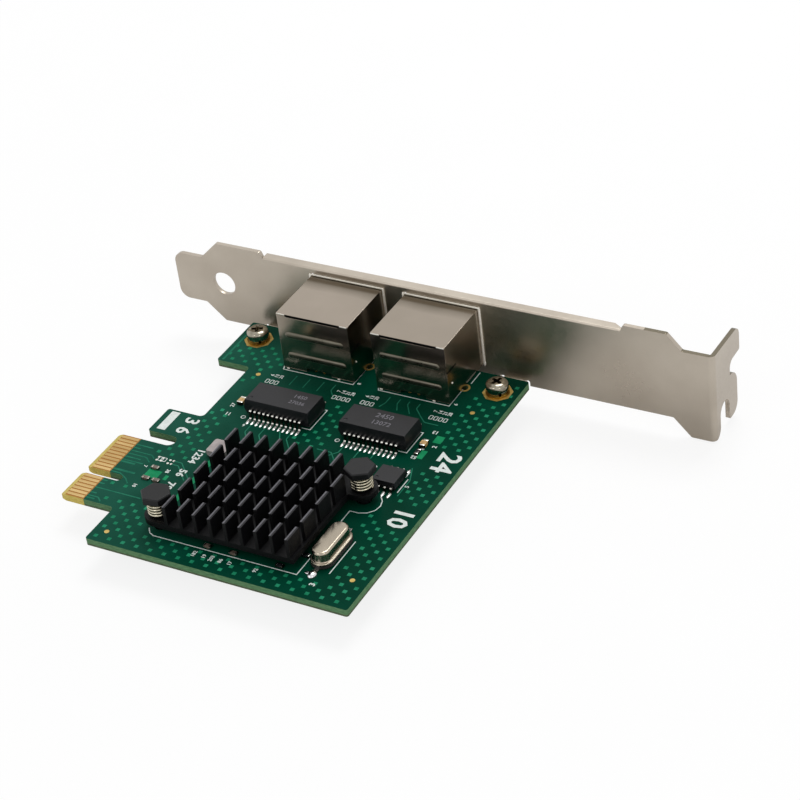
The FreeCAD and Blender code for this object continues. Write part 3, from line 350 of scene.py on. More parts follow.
shadeRoofs("shieldNickel", roofBand)
darkerTabRim("bracketNickel", tabRim)
shadeLeadWalls("tinnedLead", leadWallShade)
finishes["solderMask"] = boardFinish(boardLook)
lensTones = {"greenLens": [(104, 168, 74), (128, 190, 96)], "amberLens": [(196, 140, 40), (220, 164, 62)]}
for finishName, tones in lensTones.items():
    finishes[finishName] = lensFinish(finishName, lensLook, tones)
finishes["blackAnodising"] = sinkFinish(sinkLook)
slotFinish = {
    "solder_mask": "solderMask", "gold_plating": "contactPlating", "bracket_steel": "bracketNickel",
    "screw_steel": "screwNickel", "shield_steel": "shieldNickel", "jack_plastic": "jackPlastic",
    "contact_gold": "padGold", "green_light": "greenLens", "amber_light": "amberLens",
    "solder": "solderJoint", "package_black": "mouldedPackage", "tinned_lead": "tinnedLead",
    "thermal_rubber": "thermalRubber", "sink_aluminium": "blackAnodising", "pin_plastic": "pinPlastic",
    "spring_steel": "springWire", "crystal_metal": "crystalCan", "insulator": "crystalBase",
    "ferrite": "ferriteBlock", "tan_ceramic": "tanCeramic", "resistor_black": "resistorGlaze",
}


slotOf = {part["node"]: part["material_slot"] for part in frame["record"]["subparts"]}


def coatNodes():
    for name, slotName in slotOf.items():
        materials = frame["nodes"][name].data.materials
        materials.clear()
        materials.append(finishes[slotFinish[slotName]])
    for name in ("screw_pads", "shield_leg_pads", "test_points"):
        frame["nodes"][name].data.materials[0] = finishes["padGold"]


coatNodes()
print("finishes ready")


# making pieces

def at(x, y, level=0):
    # x and y in millimetres, the level in metres
    return Matrix.Translation((x * mm, y * mm, level))


def addObject(name, data):
    added = bpy.data.objects.new(name, data)
    bpy.context.scene.collection.objects.link(added)
    return added


def closeMesh(bm, name, sharp=35, smooth=True, recalc=True):
    # smooth faces with the real edges kept sharp
    if recalc:
        bmesh.ops.recalc_face_normals(bm, faces=bm.faces)
    for face in bm.faces:
        face.smooth = smooth
    for edge in bm.edges:
        edge.smooth = edge.is_manifold and edge.calc_face_angle(0) < math.radians(sharp)
    mesh = bpy.data.meshes.new(name)
    bm.to_mesh(mesh)
    bm.free()
    return mesh


def finishPiece(name, bm, slotName, finishName=None, replaced=(), even=False, **closing):
    # links a finished shape as a piece of the card
    mesh = closeMesh(bm, name, **closing)
    mesh.materials.append(finishes[finishName or slotFinish[slotName]])
    piece = addObject(name, mesh)
    if even:
        # big flat faces stay flat between their rounded edges
        weigh = piece.modifiers.new("evenNormals", "WEIGHTED_NORMAL")
        weigh.keep_sharp = True
        weigh.weight = 100
    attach(piece, "root")
    if replaced:
        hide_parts(*replaced)
    return piece


def absorb(bm, mesh):
    # adds a mesh that nothing else needs
    bm.from_mesh(mesh)
    bpy.data.meshes.remove(mesh)


def stamp(bm, mesh, matrix):
    # adds a copy of a small mesh at a place
    copy = mesh.copy()
    copy.transform(matrix)
    absorb(bm, copy)


def spread(count, pitch):
    # even steps to both sides of a middle
    return [(index - (count - 1) / 2) * pitch for index in range(count)]


def chain(bm, points, closed=False):
    # a run of edges through points
    verts = [bm.verts.new(p) for p in points]
    for pair in zip(verts, verts[1:]):
        bm.edges.new(pair)
    if closed:
        bm.edges.new((verts[-1], verts[0]))
    return verts


def roundOff(bm, geom, radius, segments, affect="VERTICES", clamp=False):
    bmesh.ops.bevel(bm, geom=geom, offset=radius, offset_type="OFFSET", segments=segments, affect=affect,
                    profile=0.5, material=-1, clamp_overlap=clamp)


def edgesAt(verts):
    # each edge once, in a fixed order
    return list(dict.fromkeys(edge for vert in verts for edge in vert.link_edges))


def turnRound(bm, steps):
    # spins a profile round the upright axis into a closed body
    bmesh.ops.spin(bm, geom=bm.verts[:] + bm.edges[:], cent=(0, 0, 0), axis=(0, 0, 1), angle=math.tau,
                   steps=steps, use_merge=True)
    bmesh.ops.remove_doubles(bm, verts=bm.verts, dist=mergeGap)


def pullApart(bm, verts, axis, distance):
    # the two halves of a round move apart into a long oval
    for side in (-1, 1):
        half = [v for v in verts if v.co[axis] * side > middleGap]
        step = Vector()
        step[axis] = side * distance
        bmesh.ops.translate(bm, verts=half, vec=step)


def wallFrom(bm, edges, rise, thickness):
    # lifts a run of edges into a wall and gives it its thickness
    grown = bmesh.ops.extrude_edge_only(bm, edges=edges)["geom"]
    bmesh.ops.translate(bm, verts=[v for v in grown if isinstance(v, bmesh.types.BMVert)], vec=rise)
    faces = [f for f in grown if isinstance(f, bmesh.types.BMFace)]
    bmesh.ops.recalc_face_normals(bm, faces=faces)
    bmesh.ops.solidify(bm, geom=faces, thickness=thickness)


def drawLine(bm, points, width, closed=False, bend=0.0, rise=0.03):
    # a raised line of ink or copper on top of the board, in millimetres
    strip = bmesh.new()
    verts = chain(strip, [Vector((x * mm, y * mm, lineLevel)) for x, y in points], closed)
    if bend:
        roundOff(strip, verts if closed else verts[1:-1], bend * mm, 4)
    wallFrom(strip, strip.edges[:], Vector((0, 0, rise * mm)), width * mm)
    mesh = bpy.data.meshes.new("line")
    strip.to_mesh(mesh)
    strip.free()
    absorb(bm, mesh)


def addBlock(bm, middle, size):
    block = bmesh.ops.create_cube(bm, size=1.0)["verts"]
    bmesh.ops.scale(bm, verts=block, vec=size)
    bmesh.ops.translate(bm, verts=block, vec=middle)
    return block


def addTile(bm, x, y, width, length, level, rise=0.02):
    addBlock(bm, (x * mm, y * mm, level), (width * mm, length * mm, rise * mm))


def writeText(bm, words, x, y, size, level, turn=0.0, thick=0.0, rise=0.03):
    # plain figures, made a mesh before they are placed
    data = bpy.data.curves.new("figures", "FONT")
    data.body = words
    data.size = size * mm
    data.align_x = "CENTER"
    data.align_y = "CENTER"
    data.offset = thick * mm
    data.extrude = rise / 2 * mm
    data.resolution_u = 2
    holder = addObject("figures", data)
    bpy.context.view_layer.update()
    mesh = bpy.data.meshes.new_from_object(holder)
    bpy.data.objects.remove(holder)
    bpy.data.curves.remove(data)
    mesh.transform(at(x, y, level) @ Matrix.Rotation(math.radians(turn), 4, "Z"))
    absorb(bm, mesh)


# softened copies of the solid pieces, with their real small edge radii

def softCopy(node, width, segments=2, angle=30):
    bm = bmesh.new()
    bm.from_mesh(frame["nodes"][node].data)
    bmesh.ops.remove_doubles(bm, verts=bm.verts, dist=mergeGap)
    bmesh.ops.dissolve_limit(bm, angle_limit=math.radians(1), verts=bm.verts, edges=bm.edges)
    keen = [e for e in bm.edges if e.is_manifold and e.calc_face_angle(0) > math.radians(angle)]
    roundOff(bm, keen, width * mm, segments, "EDGES", True)
    return bm


softEdges = {
    "slotBracket": ("mounting_bracket", 0.1), "heatSinkBody": ("heat_sink", 0.13),
    "pushPinBodies": ("push_pins", 0.1), "transformerLeft": ("transformer_body_left", 0.08),
    "transformerRight": ("transformer_body_right", 0.08), "memoryBody": ("memory_chip", 0.06),
    "inductorBody": ("power_inductor", 0.12), "leftShield": ("jack_shield_left", 0.07),
    "rightShield": ("jack_shield_right", 0.07), "resistorBodies": ("chip_resistors", 0.04),
    "filterBodies": ("filter_capacitors", 0.06), "filterEnds": ("filter_capacitor_ends", 0.06),
    "couplingBodies": ("coupling_capacitors", 0.05), "couplingEnds": ("coupling_capacitor_ends", 0.05),
    "resistorEnds": ("chip_resistor_ends", 0.04), "lockWashers": ("lock_washers", 0.08),
    "flatWashers": ("flat_washers", 0.07),
}

# pieces whose finish isn't the usual one of their slot
ownFinish = {"flatWashers": "washerBrass", "couplingBodies": "greyCeramic", "couplingEnds": "dullTin"}


def makeSoftCopies(edges):
    for name, (node, width) in edges.items():
        bm = softCopy(node, width)
        finishPiece(name, bm, slotOf[node], ownFinish.get(name), replaced=[node], even=True, recalc=False)


makeSoftCopies(softEdges)
print("solid pieces softened")


# springs under the push pins

springShape = {"radius": 1.95, "wire": 0.24, "sides": 10, "floor": 3.785, "roof": 7.285, "openTurns": 3.5,
               "closedTurns": 0.75, "closedRise": 1.6, "stepsPerTurn": 28}
pinPlaces = [(24.3, -9.3), (56.4, 10.9)]
pinHeads = {"above": 7.2, "within": 4.0, "widen": (1.08, 1.08, 1)}


def widenHeads(look, places):
    # the heads of the push pins stand a little wider than their springs
    mesh = bpy.data.objects["pushPinBodies"].data
    bm = bmesh.new()
    bm.from_mesh(mesh)
    for x, y in places:
        middle = Vector((x * mm, y * mm, 0))
        head = [v for v in bm.verts
                if v.co.z > look["above"] * mm and (v.co.xy - middle.xy).length < look["within"] * mm]
        bmesh.ops.scale(bm, verts=head, vec=look["widen"], space=Matrix.Translation(-middle))
    bm.to_mesh(mesh)
    bm.free()


widenHeads(pinHeads, pinPlaces)


def makeSprings(shape, places):
    bm = bmesh.new()
    wire, radius = shape["wire"] * mm, shape["radius"] * mm
    rise = (shape["roof"] - shape["floor"]) * mm - 2 * wire
    closedRise = shape["closedRise"] * wire
    closedEnd = (shape["closedTurns"], closedRise)
    for x, y in places:
        centre = Vector((x * mm, y * mm, shape["floor"] * mm + wire))
        start = Matrix.Translation(centre + Vector((radius, 0, 0))) @ Matrix.Rotation(math.pi / 2, 4, "X")
        ring = bmesh.ops.create_circle(bm, cap_ends=False, segments=shape["sides"], radius=wire,
                                       matrix=start)["verts"]
        geometry = ring + edgesAt(ring)
        first = geometry[:]
        for turns, climb in (closedEnd, (shape["openTurns"], rise - 2 * closedRise), closedEnd):
            count = int(turns * shape["stepsPerTurn"])
            grown = bmesh.ops.spin(bm, geom=geometry, cent=centre, axis=(0, 0, 1), angle=turns * math.tau,
                                   dvec=(0, 0, climb / count), steps=count, use_duplicate=False)
            geometry = grown["geom_last"]
        for loop in (first, geometry):
            bmesh.ops.edgeloop_fill(bm, edges=[e for e in loop if isinstance(e, bmesh.types.BMEdge)])
    finishPiece("pinSprings", bm, "spring_steel", replaced=["push_pin_springs"], sharp=60)


makeSprings(springShape, pinPlaces)


# screws that hold the board to the bracket

# each place has its turn, and the profile is in shares of the head's radius and the crown's height
screwShape = {"places": [(9.55, 50.1, 24), (64.55, 50.1, 68)], "floor": 1.935, "head": 2.3,
              "crown": 1.6, "profile": [(0, 1), (0.66, 1), (0.97, 0.74), (1, 0.2), (0.985, 0)],
              "shank": 1.25, "foot": -2.385, "tipRise": 0.3, "tipShare": 0.75, "round": 0.32, "steps": 40,
              "slotWide": 0.85, "slotLong": 3.1, "slotDeep": 1.05, "slotTaper": (0.55, 0.7, 1),
              "cutterTall": 2}


def makeScrews(shape):
    bm = bmesh.new()
    head, crown, shank = shape["head"], shape["crown"], shape["shank"]
    floor, foot = shape["floor"], shape["foot"]
    corners = [(head * u, floor + crown * v) for u, v in shape["profile"]]
    tip = shank * shape["tipShare"]
    corners += [(shank, floor), (shank, foot + shape["tipRise"]), (tip, foot), (0, foot)]
    cutterMiddle = floor + crown - shape["slotDeep"] + shape["cutterTall"] / 2
    for x, y, turn in shape["places"]:
        screw = bmesh.new()
        verts = chain(screw, [Vector((u * mm, 0, v * mm)) for u, v in corners])
        roundOff(screw, verts[1:4], shape["round"] * mm, 3)
        turnRound(screw, shape["steps"])
        body = addObject("screw", closeMesh(screw, "screw"))
        cutter = bmesh.new()
        for angle in (0, 90):
            arm = bmesh.ops.create_cube(cutter, size=1.0)["verts"]
            armSize = (shape["slotLong"] * mm, shape["slotWide"] * mm, shape["cutterTall"] * mm)
            bmesh.ops.scale(cutter, verts=arm, vec=armSize)
            bmesh.ops.scale(cutter, verts=[v for v in arm if v.co.z < 0], vec=shape["slotTaper"])
            bmesh.ops.translate(cutter, verts=arm, vec=(0, 0, cutterMiddle * mm))
            bmesh.ops.rotate(cutter, verts=arm, matrix=Matrix.Rotation(math.radians(angle), 3, "Z"))
        cross = addObject("cross", closeMesh(cutter, "cross", smooth=False))
        cut = body.modifiers.new("recess", "BOOLEAN")
        cut.operation = "DIFFERENCE"
        cut.use_self = True
        cut.object = cross
        bpy.context.view_layer.update()
        shaped = bpy.data.meshes.new_from_object(body.evaluated_get(bpy.context.evaluated_depsgraph_get()))
        for holder in (body, cross):
            bpy.data.objects.remove(holder)
        stamp(bm, shaped, at(x, y) @ Matrix.Rotation(math.radians(turn), 4, "Z"))
    bmesh.ops.remove_doubles(bm, verts=bm.verts, dist=mergeGap)
    finishPiece("boardScrews", bm, "screw_steel", replaced=["bracket_screws"], even=True, sharp=40)


makeScrews(screwShape)
print("springs and screws made")


# the crystal's can, with its rolled foot, and the solder on its leads

# each bead of solder is its shift from the lead and its three half sizes
crystalShape = {"x": 58.3, "y": -4.6, "radius": 2.3, "wall": 1.82, "length": 11.0, "seat": 1.585,
                "brim": 2.035, "roof": 4.185, "crown": 0.5, "brimRound": 0.2, "footRound": 0.21, "steps": 48,
                "lead": (58.25, -11.7), "solderLift": 0.1,
                "beads": [(0, 0, 0.85, 1.15, 0.55), (-0.9, 0.15, 0.8, 0.42, 0.25)]}


def makeCrystal(shape):
    bm = bmesh.new()
    radius, wall, roof, seat, brim = (shape[key] for key in ("radius", "wall", "roof", "seat", "brim"))
    corners = [(0, roof), (wall, roof), (wall, brim), (radius, brim), (radius, seat), (0, seat)]
    verts = chain(bm, [Vector((u * mm, 0, v * mm)) for u, v in corners])
    roundOff(bm, verts[1:2], shape["crown"] * mm, 5)
    roundOff(bm, verts[2:3], shape["brimRound"] * mm, 3)
    roundOff(bm, verts[3:5], shape["footRound"] * mm, 4)
    bmesh.ops.rotate(bm, verts=bm.verts, matrix=Matrix.Rotation(math.pi / shape["steps"], 3, "Z"))
    turnRound(bm, shape["steps"])
    pullApart(bm, bm.verts, 1, (shape["length"] / 2 - radius) * mm)
    bmesh.ops.translate(bm, verts=bm.verts, vec=(shape["x"] * mm, shape["y"] * mm, 0))
    finishPiece("crystalShell", bm, "crystal_metal", replaced=["crystal_can"], even=True, sharp=50)
    bm = bmesh.new()
    x, y = shape["lead"]
    for shiftX, shiftY, wide, long, tall in shape["beads"]:
        place = at(x + shiftX, y + shiftY, boardTop + shape["solderLift"] * mm)
        bmesh.ops.create_uvsphere(bm, u_segments=20, v_segments=12, radius=1.0,
                                  matrix=place @ Matrix.Diagonal((wide * mm, long * mm, tall * mm, 1)))
    finishPiece("crystalSolder", bm, "solder", "brightSolder", sharp=70)


makeCrystal(crystalShape)


# trim of the two jack shields: lips behind the bracket and folded corners, near white as a painted highlight,
# pressed ribs painted darker as shade, dark bars of painted shade in the slits, and a painted glint on each
# dimple

# each bar is its low and high corner from the can's left rear foot and how far its edges are rounded,
# and each rib its level, its half height and how far it stands out
jackTrim = {"lefts": [20.0, 41.5], "width": 16.3, "rear": 43.0,
            "lips": {"top": ((-0.5, 14.12, 14.355), (16.8, 14.38, 14.695), 0.08),
                     "right": ((16.44, 14.12, 1.0), (16.8, 14.38, 14.435), 0.08),
                     "left": ((-0.48, 14.0, 1.2), (-0.06, 14.38, 14.435), 0.1),
                     "leftFold": ((0.06, -0.06, 13.965), (2.0, 0.2, 14.225), 0.09),
                     "rightFold": ((14.55, -0.06, 13.965), (16.24, 0.2, 14.225), 0.09),
                     "leftFoot": ((0.6, -0.06, 0.82), (1.2, 0.04, 1.16), 0.03),
                     "rightFoot": ((12.4, -0.06, 0.82), (13.0, 0.04, 1.16), 0.03)},
            # dark bars laid over the slits as painted shade
            "slits": {"rear": ((2.02, -0.02, 13.735), (14.53, 0.2, 14.155), 0),
                      "right": ((16.2, 0.05, 8.08), (16.32, 3.75, 8.42), 0),
                      "left": ((-0.02, 0.05, 8.08), (0.1, 3.75, 8.42), 0)},
            "ribs": [(9.4, 0.7, 0.3), (4.55, 0.66, 0.3)], "ribInset": 1.5, "ribSides": 24,
            "dimple": (16.3, 1.6, 5.1), "dimpleRadius": 0.2}


def addBar(bm, corner, low, high, soft):
    middle = [(base + (a + b) / 2) * mm for base, a, b in zip(corner, low, high)]
    bar = addBlock(bm, middle, [(b - a) * mm for a, b in zip(low, high)])
    if soft:
        roundOff(bm, edgesAt(bar), soft * mm, 2, "EDGES")


def addCapsule(bm, middle, length, half, proud, sides):
    # a round bar along X with ball ends, turned so that a seam of faces lies at its middle
    ball = bmesh.ops.create_uvsphere(bm, u_segments=sides, v_segments=14, radius=1.0)["verts"]
    bmesh.ops.rotate(bm, verts=ball, matrix=Matrix.Rotation(math.pi / 2, 3, "X"))
    bmesh.ops.rotate(bm, verts=ball, matrix=Matrix.Rotation(math.pi / sides, 3, "Y"))
    bmesh.ops.scale(bm, verts=ball, vec=(half * mm, proud * mm, half * mm))
    pullApart(bm, ball, 0, (length / 2 - half) * mm)
    bmesh.ops.translate(bm, verts=ball, vec=middle)


def makeJackTrim(trim):
    lips, slits, ribs = bmesh.new(), bmesh.new(), bmesh.new()
    for left in trim["lefts"]:
        corner = (left, trim["rear"], 0)
        for bm, bars in ((lips, trim["lips"]), (slits, trim["slits"])):
            for low, high, soft in bars.values():
                addBar(bm, corner, low, high, soft)
        # a small ball on each shield's side dimple is a painted glint
        dimple = Matrix.Translation([(base + shift) * mm for base, shift in zip(corner, trim["dimple"])])
        bmesh.ops.create_uvsphere(lips, u_segments=12, v_segments=8, radius=trim["dimpleRadius"] * mm,
                                  matrix=dimple)
        for level, half, proud in trim["ribs"]:
            middle = ((left + trim["width"] / 2) * mm, trim["rear"] * mm, level * mm)
            addCapsule(ribs, middle, trim["width"] - 2 * trim["ribInset"], half, proud, trim["ribSides"])
    # the lips, folded corners, feet and dimple glints carry a painted highlight
    finishPiece("jackLips", lips, "shield_steel", "lipHighlight", sharp=60)
    # the slit bars are dark sheets of painted shade
    finishPiece("jackSlitShade", slits, "shield_steel", "slotShade")
    # the ribs carry a painted shade of the shield's nickel
    finishPiece("jackRibs", ribs, "shield_steel", "ribShadedNickel", sharp=80)


makeJackTrim(jackTrim)
print("crystal and jack trim made")


# gull-wing leads with rounded bends and solder at their feet

transformerLead = {"y": 29.7, "half": 3.325, "count": 12, "pitch": 1.02, "width": 0.45, "thick": 0.22,
                   "waist": 1.8, "reach": 0.75, "foot": 1.4}
leadSets = {
    "transformerLeadsLeft": {"node": "transformer_leads_left", "x": 28.15, **transformerLead},
    "transformerLeadsRight": {"node": "transformer_leads_right", "x": 49.6, **transformerLead},
    "memoryLegs": {"node": "memory_leads", "x": 58.2, "y": 17.4, "half": 2.5, "count": 4, "pitch": 1.27,
                   "width": 0.42, "thick": 0.2, "waist": 0.95, "reach": 0.6, "foot": 0.95},
}
leadForm = {"tuck": 0.05, "slant": 0.12, "bend": 0.3, "lift": 0.01,
            "solderWider": 0.18, "solderLonger": 0.9, "solderTall": 0.3}


def makeLeads(name, lead, form):
    single = bmesh.new()
    knee = lead["half"] + lead["reach"]
    level = boardTop / mm + lead["thick"] / 2 + form["lift"]
    waist = boardTop / mm + lead["waist"]
    path = [(lead["half"] - form["tuck"], waist), (knee, waist), (knee + form["slant"], level),
            (knee + lead["foot"], level)]
    left = -lead["width"] / 2
    verts = chain(single, [Vector((left * mm, v * mm, w * mm)) for v, w in path])
    roundOff(single, verts[1:-1], form["bend"] * mm, 3)
    wallFrom(single, single.edges[:], Vector((lead["width"] * mm, 0, 0)), lead["thick"] * mm)
    legMesh = closeMesh(single, "leg", 40)
    bm = bmesh.new()
    for side in (0, math.pi):
        turned = at(lead["x"], lead["y"]) @ Matrix.Rotation(side, 4, "Z")
        for step in spread(lead["count"], lead["pitch"]):
            stamp(bm, legMesh, turned @ at(step, 0))
    bpy.data.meshes.remove(legMesh)
    finishPiece(name, bm, "tinned_lead", replaced=[lead["node"]], sharp=40)


def makeLeadSolder(sets, form):
    # a low fillet of solder round each foot, on its pad
    bead = bmesh.new()
    bmesh.ops.create_uvsphere(bead, u_segments=12, v_segments=6, radius=0.5)
    bmesh.ops.bisect_plane(bead, geom=bead.verts[:] + bead.edges[:] + bead.faces[:], plane_co=(0, 0, 0),
                           plane_no=(0, 0, -1), clear_outer=True)
    bmesh.ops.holes_fill(bead, edges=bead.edges)
    beadMesh = closeMesh(bead, "bead", 70)
    bm = bmesh.new()
    for lead in sets.values():
        reach = lead["half"] + lead["reach"] + lead["foot"] / 2 + form["slant"]
        size = Matrix.Diagonal(((lead["width"] + form["solderWider"]) * mm,
                                (lead["foot"] + form["solderLonger"]) * mm, form["solderTall"] * mm, 1))
        for side in (-1, 1):
            for step in spread(lead["count"], lead["pitch"]):
                stamp(bm, beadMesh, at(lead["x"] + step, lead["y"] + side * reach, boardTop) @ size)
    bpy.data.meshes.remove(beadMesh)
    finishPiece("leadSolder", bm, "solder", "solderJoint", sharp=70)


for leadName, leadShape in leadSets.items():
    makeLeads(leadName, leadShape, leadForm)
makeLeadSolder(leadSets, leadForm)
print("leads made")


# copper under the solder mask: staggered squares, tracks and patches

hatch = {"startX": 14.0, "startY": -16.5, "stepX": 1.53, "stepY": 1.47, "size": 0.8, "rows": (-1, 50),
         "columns": (-7, 37)}
# low x, low y, high x, high y of the areas that carry the squares, and of the gaps in them
hatchAreas = [
    (13.4, -17.1, 68.3, -13.2), (13.4, -13.2, 21.4, -5.4), (6.6, -6.6, 13.4, -5.4), (7.0, -2.4, 11.6, -1.2),
    (61.9, -13.2, 68.3, 3.0), (58.6, 1.6, 68.3, 8.2), (62.6, 12.4, 68.3, 22.2), (60.9, 30.0, 68.3, 46.5),
    (60.9, 46.5, 61.9, 48.0), (66.4, 46.5, 68.3, 54.6), (10.6, 9.4, 18.2, 12.0), (13.6, 12.0, 18.2, 26.4),
    (13.6, 35.0, 17.0, 46.8), (6.0, 41.9, 19.0, 46.8), (13.6, 46.8, 18.6, 48.6), (36.6, 21.2, 40.9, 36.0),
    (33.5, 20.8, 36.6, 25.4), (62.4, 30.0, 68.3, 31.0),
]
hatchGaps = [
    (61.6, 22.3, 68.6, 29.9), (61.9, 4.2, 68.6, 12.3), (64.6, -12.0, 67.4, -9.2), (61.6, 41.0, 64.2, 43.6),
    (13.9, 37.9, 17.4, 40.6), (13.9, -16.0, 16.4, -13.6),
]


def inAreas(x, y, areas):
    return any(a <= x <= c and b <= y <= d for a, b, c, d in areas)


def makeHatch(look, areas, gaps):
    bm = bmesh.new()
    for level in (boardTop, boardUnder):
        for row in range(*look["rows"]):
            for column in range(*look["columns"]):
                x = look["startX"] + column * look["stepX"]
                y = look["startY"] + row * look["stepY"]
                if (row + column) % 2 == 0 and inAreas(x, y, areas) and not inAreas(x, y, gaps):
                    addTile(bm, x, y, look["size"], look["size"], level)
    finishPiece("copperSquares", bm, "solder_mask", "maskedCopper")


makeHatch(hatch, hatchAreas, hatchGaps)

# each track is its width and its corners, each patch its middle and its two sizes
tracks = [
    (0.3, [(5.4, 10.5), (9.4, 10.5)]), (0.26, [(5.4, 8.5), (10.4, 8.5), (11.4, 7.7)]),
    (0.26, [(5.4, 7.5), (9.8, 7.5), (11.2, 6.3)]), (0.3, [(5.4, 6.5), (9.0, 6.5)]),
    (0.3, [(5.4, 5.5), (10.2, 5.5)]), (0.5, [(5.4, 4.5), (8.8, 4.5)]), (0.55, [(5.4, 2.5), (10.4, 2.5)]),
    (0.26, [(5.4, 1.5), (7.6, 1.5), (9.6, 0.4), (10.9, -0.9)]), (0.3, [(5.4, -3.9), (15.8, -3.9)]),
    (0.26, [(5.4, -6.5), (7.9, -6.5), (9.0, -7.5)]), (0.4, [(5.4, -7.5), (7.4, -7.5)]),
    (0.3, [(5.4, 9.5), (7.0, 9.5)]), (0.3, [(5.4, -1.5), (6.6, -1.5)]), (0.3, [(5.4, -2.5), (6.6, -2.5)]),
    (0.3, [(5.4, -5.5), (6.8, -5.5)]), (0.22, [(15.6, 8.4), (17.4, 8.4), (21.2, 4.6), (24.0, 4.6)]),
    (0.22, [(15.6, 7.4), (17.2, 7.4), (20.8, 3.8)]), (0.22, [(24.0, 41.4), (24.0, 38.2)]),
    (0.22, [(27.1, 41.4), (27.1, 38.2)]), (0.22, [(30.1, 41.4), (30.1, 38.2)]),
    (0.22, [(33.0, 41.4), (33.0, 39.4), (35.0, 37.0)]), (0.22, [(45.4, 41.4), (45.4, 39.4), (44.8, 37.8)]),
    (0.22, [(47.7, 41.4), (47.7, 40.0), (48.7, 38.0)]), (0.22, [(49.8, 41.4), (49.8, 40.4), (51.6, 37.8)]),
    (0.22, [(52.1, 41.4), (52.1, 39.8), (54.1, 37.8), (55.6, 36.4), (58.6, 36.4)]),
    (0.22, [(23.8, 24.0), (23.8, 21.4), (26.6, 18.0)]), (0.22, [(27.0, 24.0), (27.0, 21.4), (29.8, 18.0)]),
    (0.22, [(30.3, 24.0), (31.4, 22.0), (33.6, 18.6)]), (0.22, [(32.8, 24.0), (32.8, 22.2), (36.6, 17.6)]),
    (0.22, [(44.6, 24.0), (44.6, 22.0), (42.0, 19.0)]), (0.22, [(48.2, 24.0), (48.2, 21.4)]),
    (0.22, [(51.4, 24.0), (51.4, 22.4)]), (0.22, [(40.0, 21.6), (43.2, 21.6), (46.6, 17.8)]),
    (0.5, [(5.9, 50.6), (5.9, 41.4)]), (0.22, [(61.8, 14.0), (61.8, 19.0), (60.4, 22.6)]),
]
patches = [(13.8, 3.4, 3.0, 2.3), (60.9, 32.2, 1.7, 2.2), (60.0, 26.9, 1.3, 2.6), (16.9, 3.2, 0.8, 1.4),
           (22.5, 4.2, 1.2, 14.6)]
copper = {"trackRise": 0.02, "bend": 0.25, "patchRise": 0.024}


def makeTracks(look, lines, fields):
    bm = bmesh.new()
    for width, points in lines:
        drawLine(bm, points, width, bend=look["bend"] if len(points) > 2 else 0, rise=look["trackRise"])
    finishPiece("maskedTracks", bm, "solder_mask", "maskedTrace", recalc=False)
    bm = bmesh.new()
    for x, y, width, length in fields:
        addTile(bm, x, y, width, length, boardTop, look["patchRise"])
    finishPiece("brightCopper", bm, "solder_mask", "brightMask")


makeTracks(copper, tracks, patches)
print("copper drawn")


# white ink: outlines, boxes and plain figures

inkLook = {"line": 0.2, "ring": 0.16, "ringSides": 20, "blockRise": 0.05, "lift": 0.01,
           "box": 0.14, "boxBend": 0.18, "boxHalfWide": 0.4, "boxHalfLong": 0.62, "boxPitch": 1.05,
           "labelShift": 2.1, "labelSize": 1.15, "labelThick": 0.02, "markThick": 0.01, "markRise": 0.015,
           "markLift": 0.005}
inkLines = {
    "sinkOutline": [(22.35, -11.0), (22.7, -11.55), (23.35, -12.3), (24.4, -12.75), (55.6, -12.75),
                    (55.6, 6.85), (57.3, 6.85), (58.9, 7.45), (60.0, 8.7), (60.3, 10.2), (59.9, 11.7),
                    (59.0, 12.8)],
    "leftJack": [(19.5, 43.6), (19.9, 42.5), (36.2, 42.5), (36.2, 55.0)],
    "rightJack": [(41.3, 43.7), (41.8, 42.6), (57.75, 42.6), (57.75, 49.0)],
    "rightJackEnd": [(58.2, 50.9), (58.2, 54.9)],
    "leftTransformer": [(35.1, 33.25), (35.7, 33.3), (35.7, 26.3), (33.7, 26.3)],
    "rightTransformer": [(56.5, 33.25), (57.1, 33.3), (57.1, 26.3), (55.1, 26.3)],
    "crystalSide": [(60.86, -10.3), (60.86, -0.6)],
    "memorySide": [(61.1, 14.9), (61.1, 19.2)],
    "memoryCorner": [(53.5, 20.9), (53.8, 20.6), (53.8, 18.2)],
}
inkRings = [(20.8, 25.5, 0.52), (42.35, 25.3, 0.52)]
inkBlocks = [(7.15, 19.3, 1.9, 6.0), (60.3, 20.4, 0.55, 1.9)]
# middle x, middle y and how many boxes: rows with a figure over each box, and rows without
labelledRows = [(20.0, 37.9, 3), (36.2, 37.6, 4), (41.9, 38.0, 3), (57.6, 38.2, 4)]
plainRows = [(13.0, 8.0, 2)]
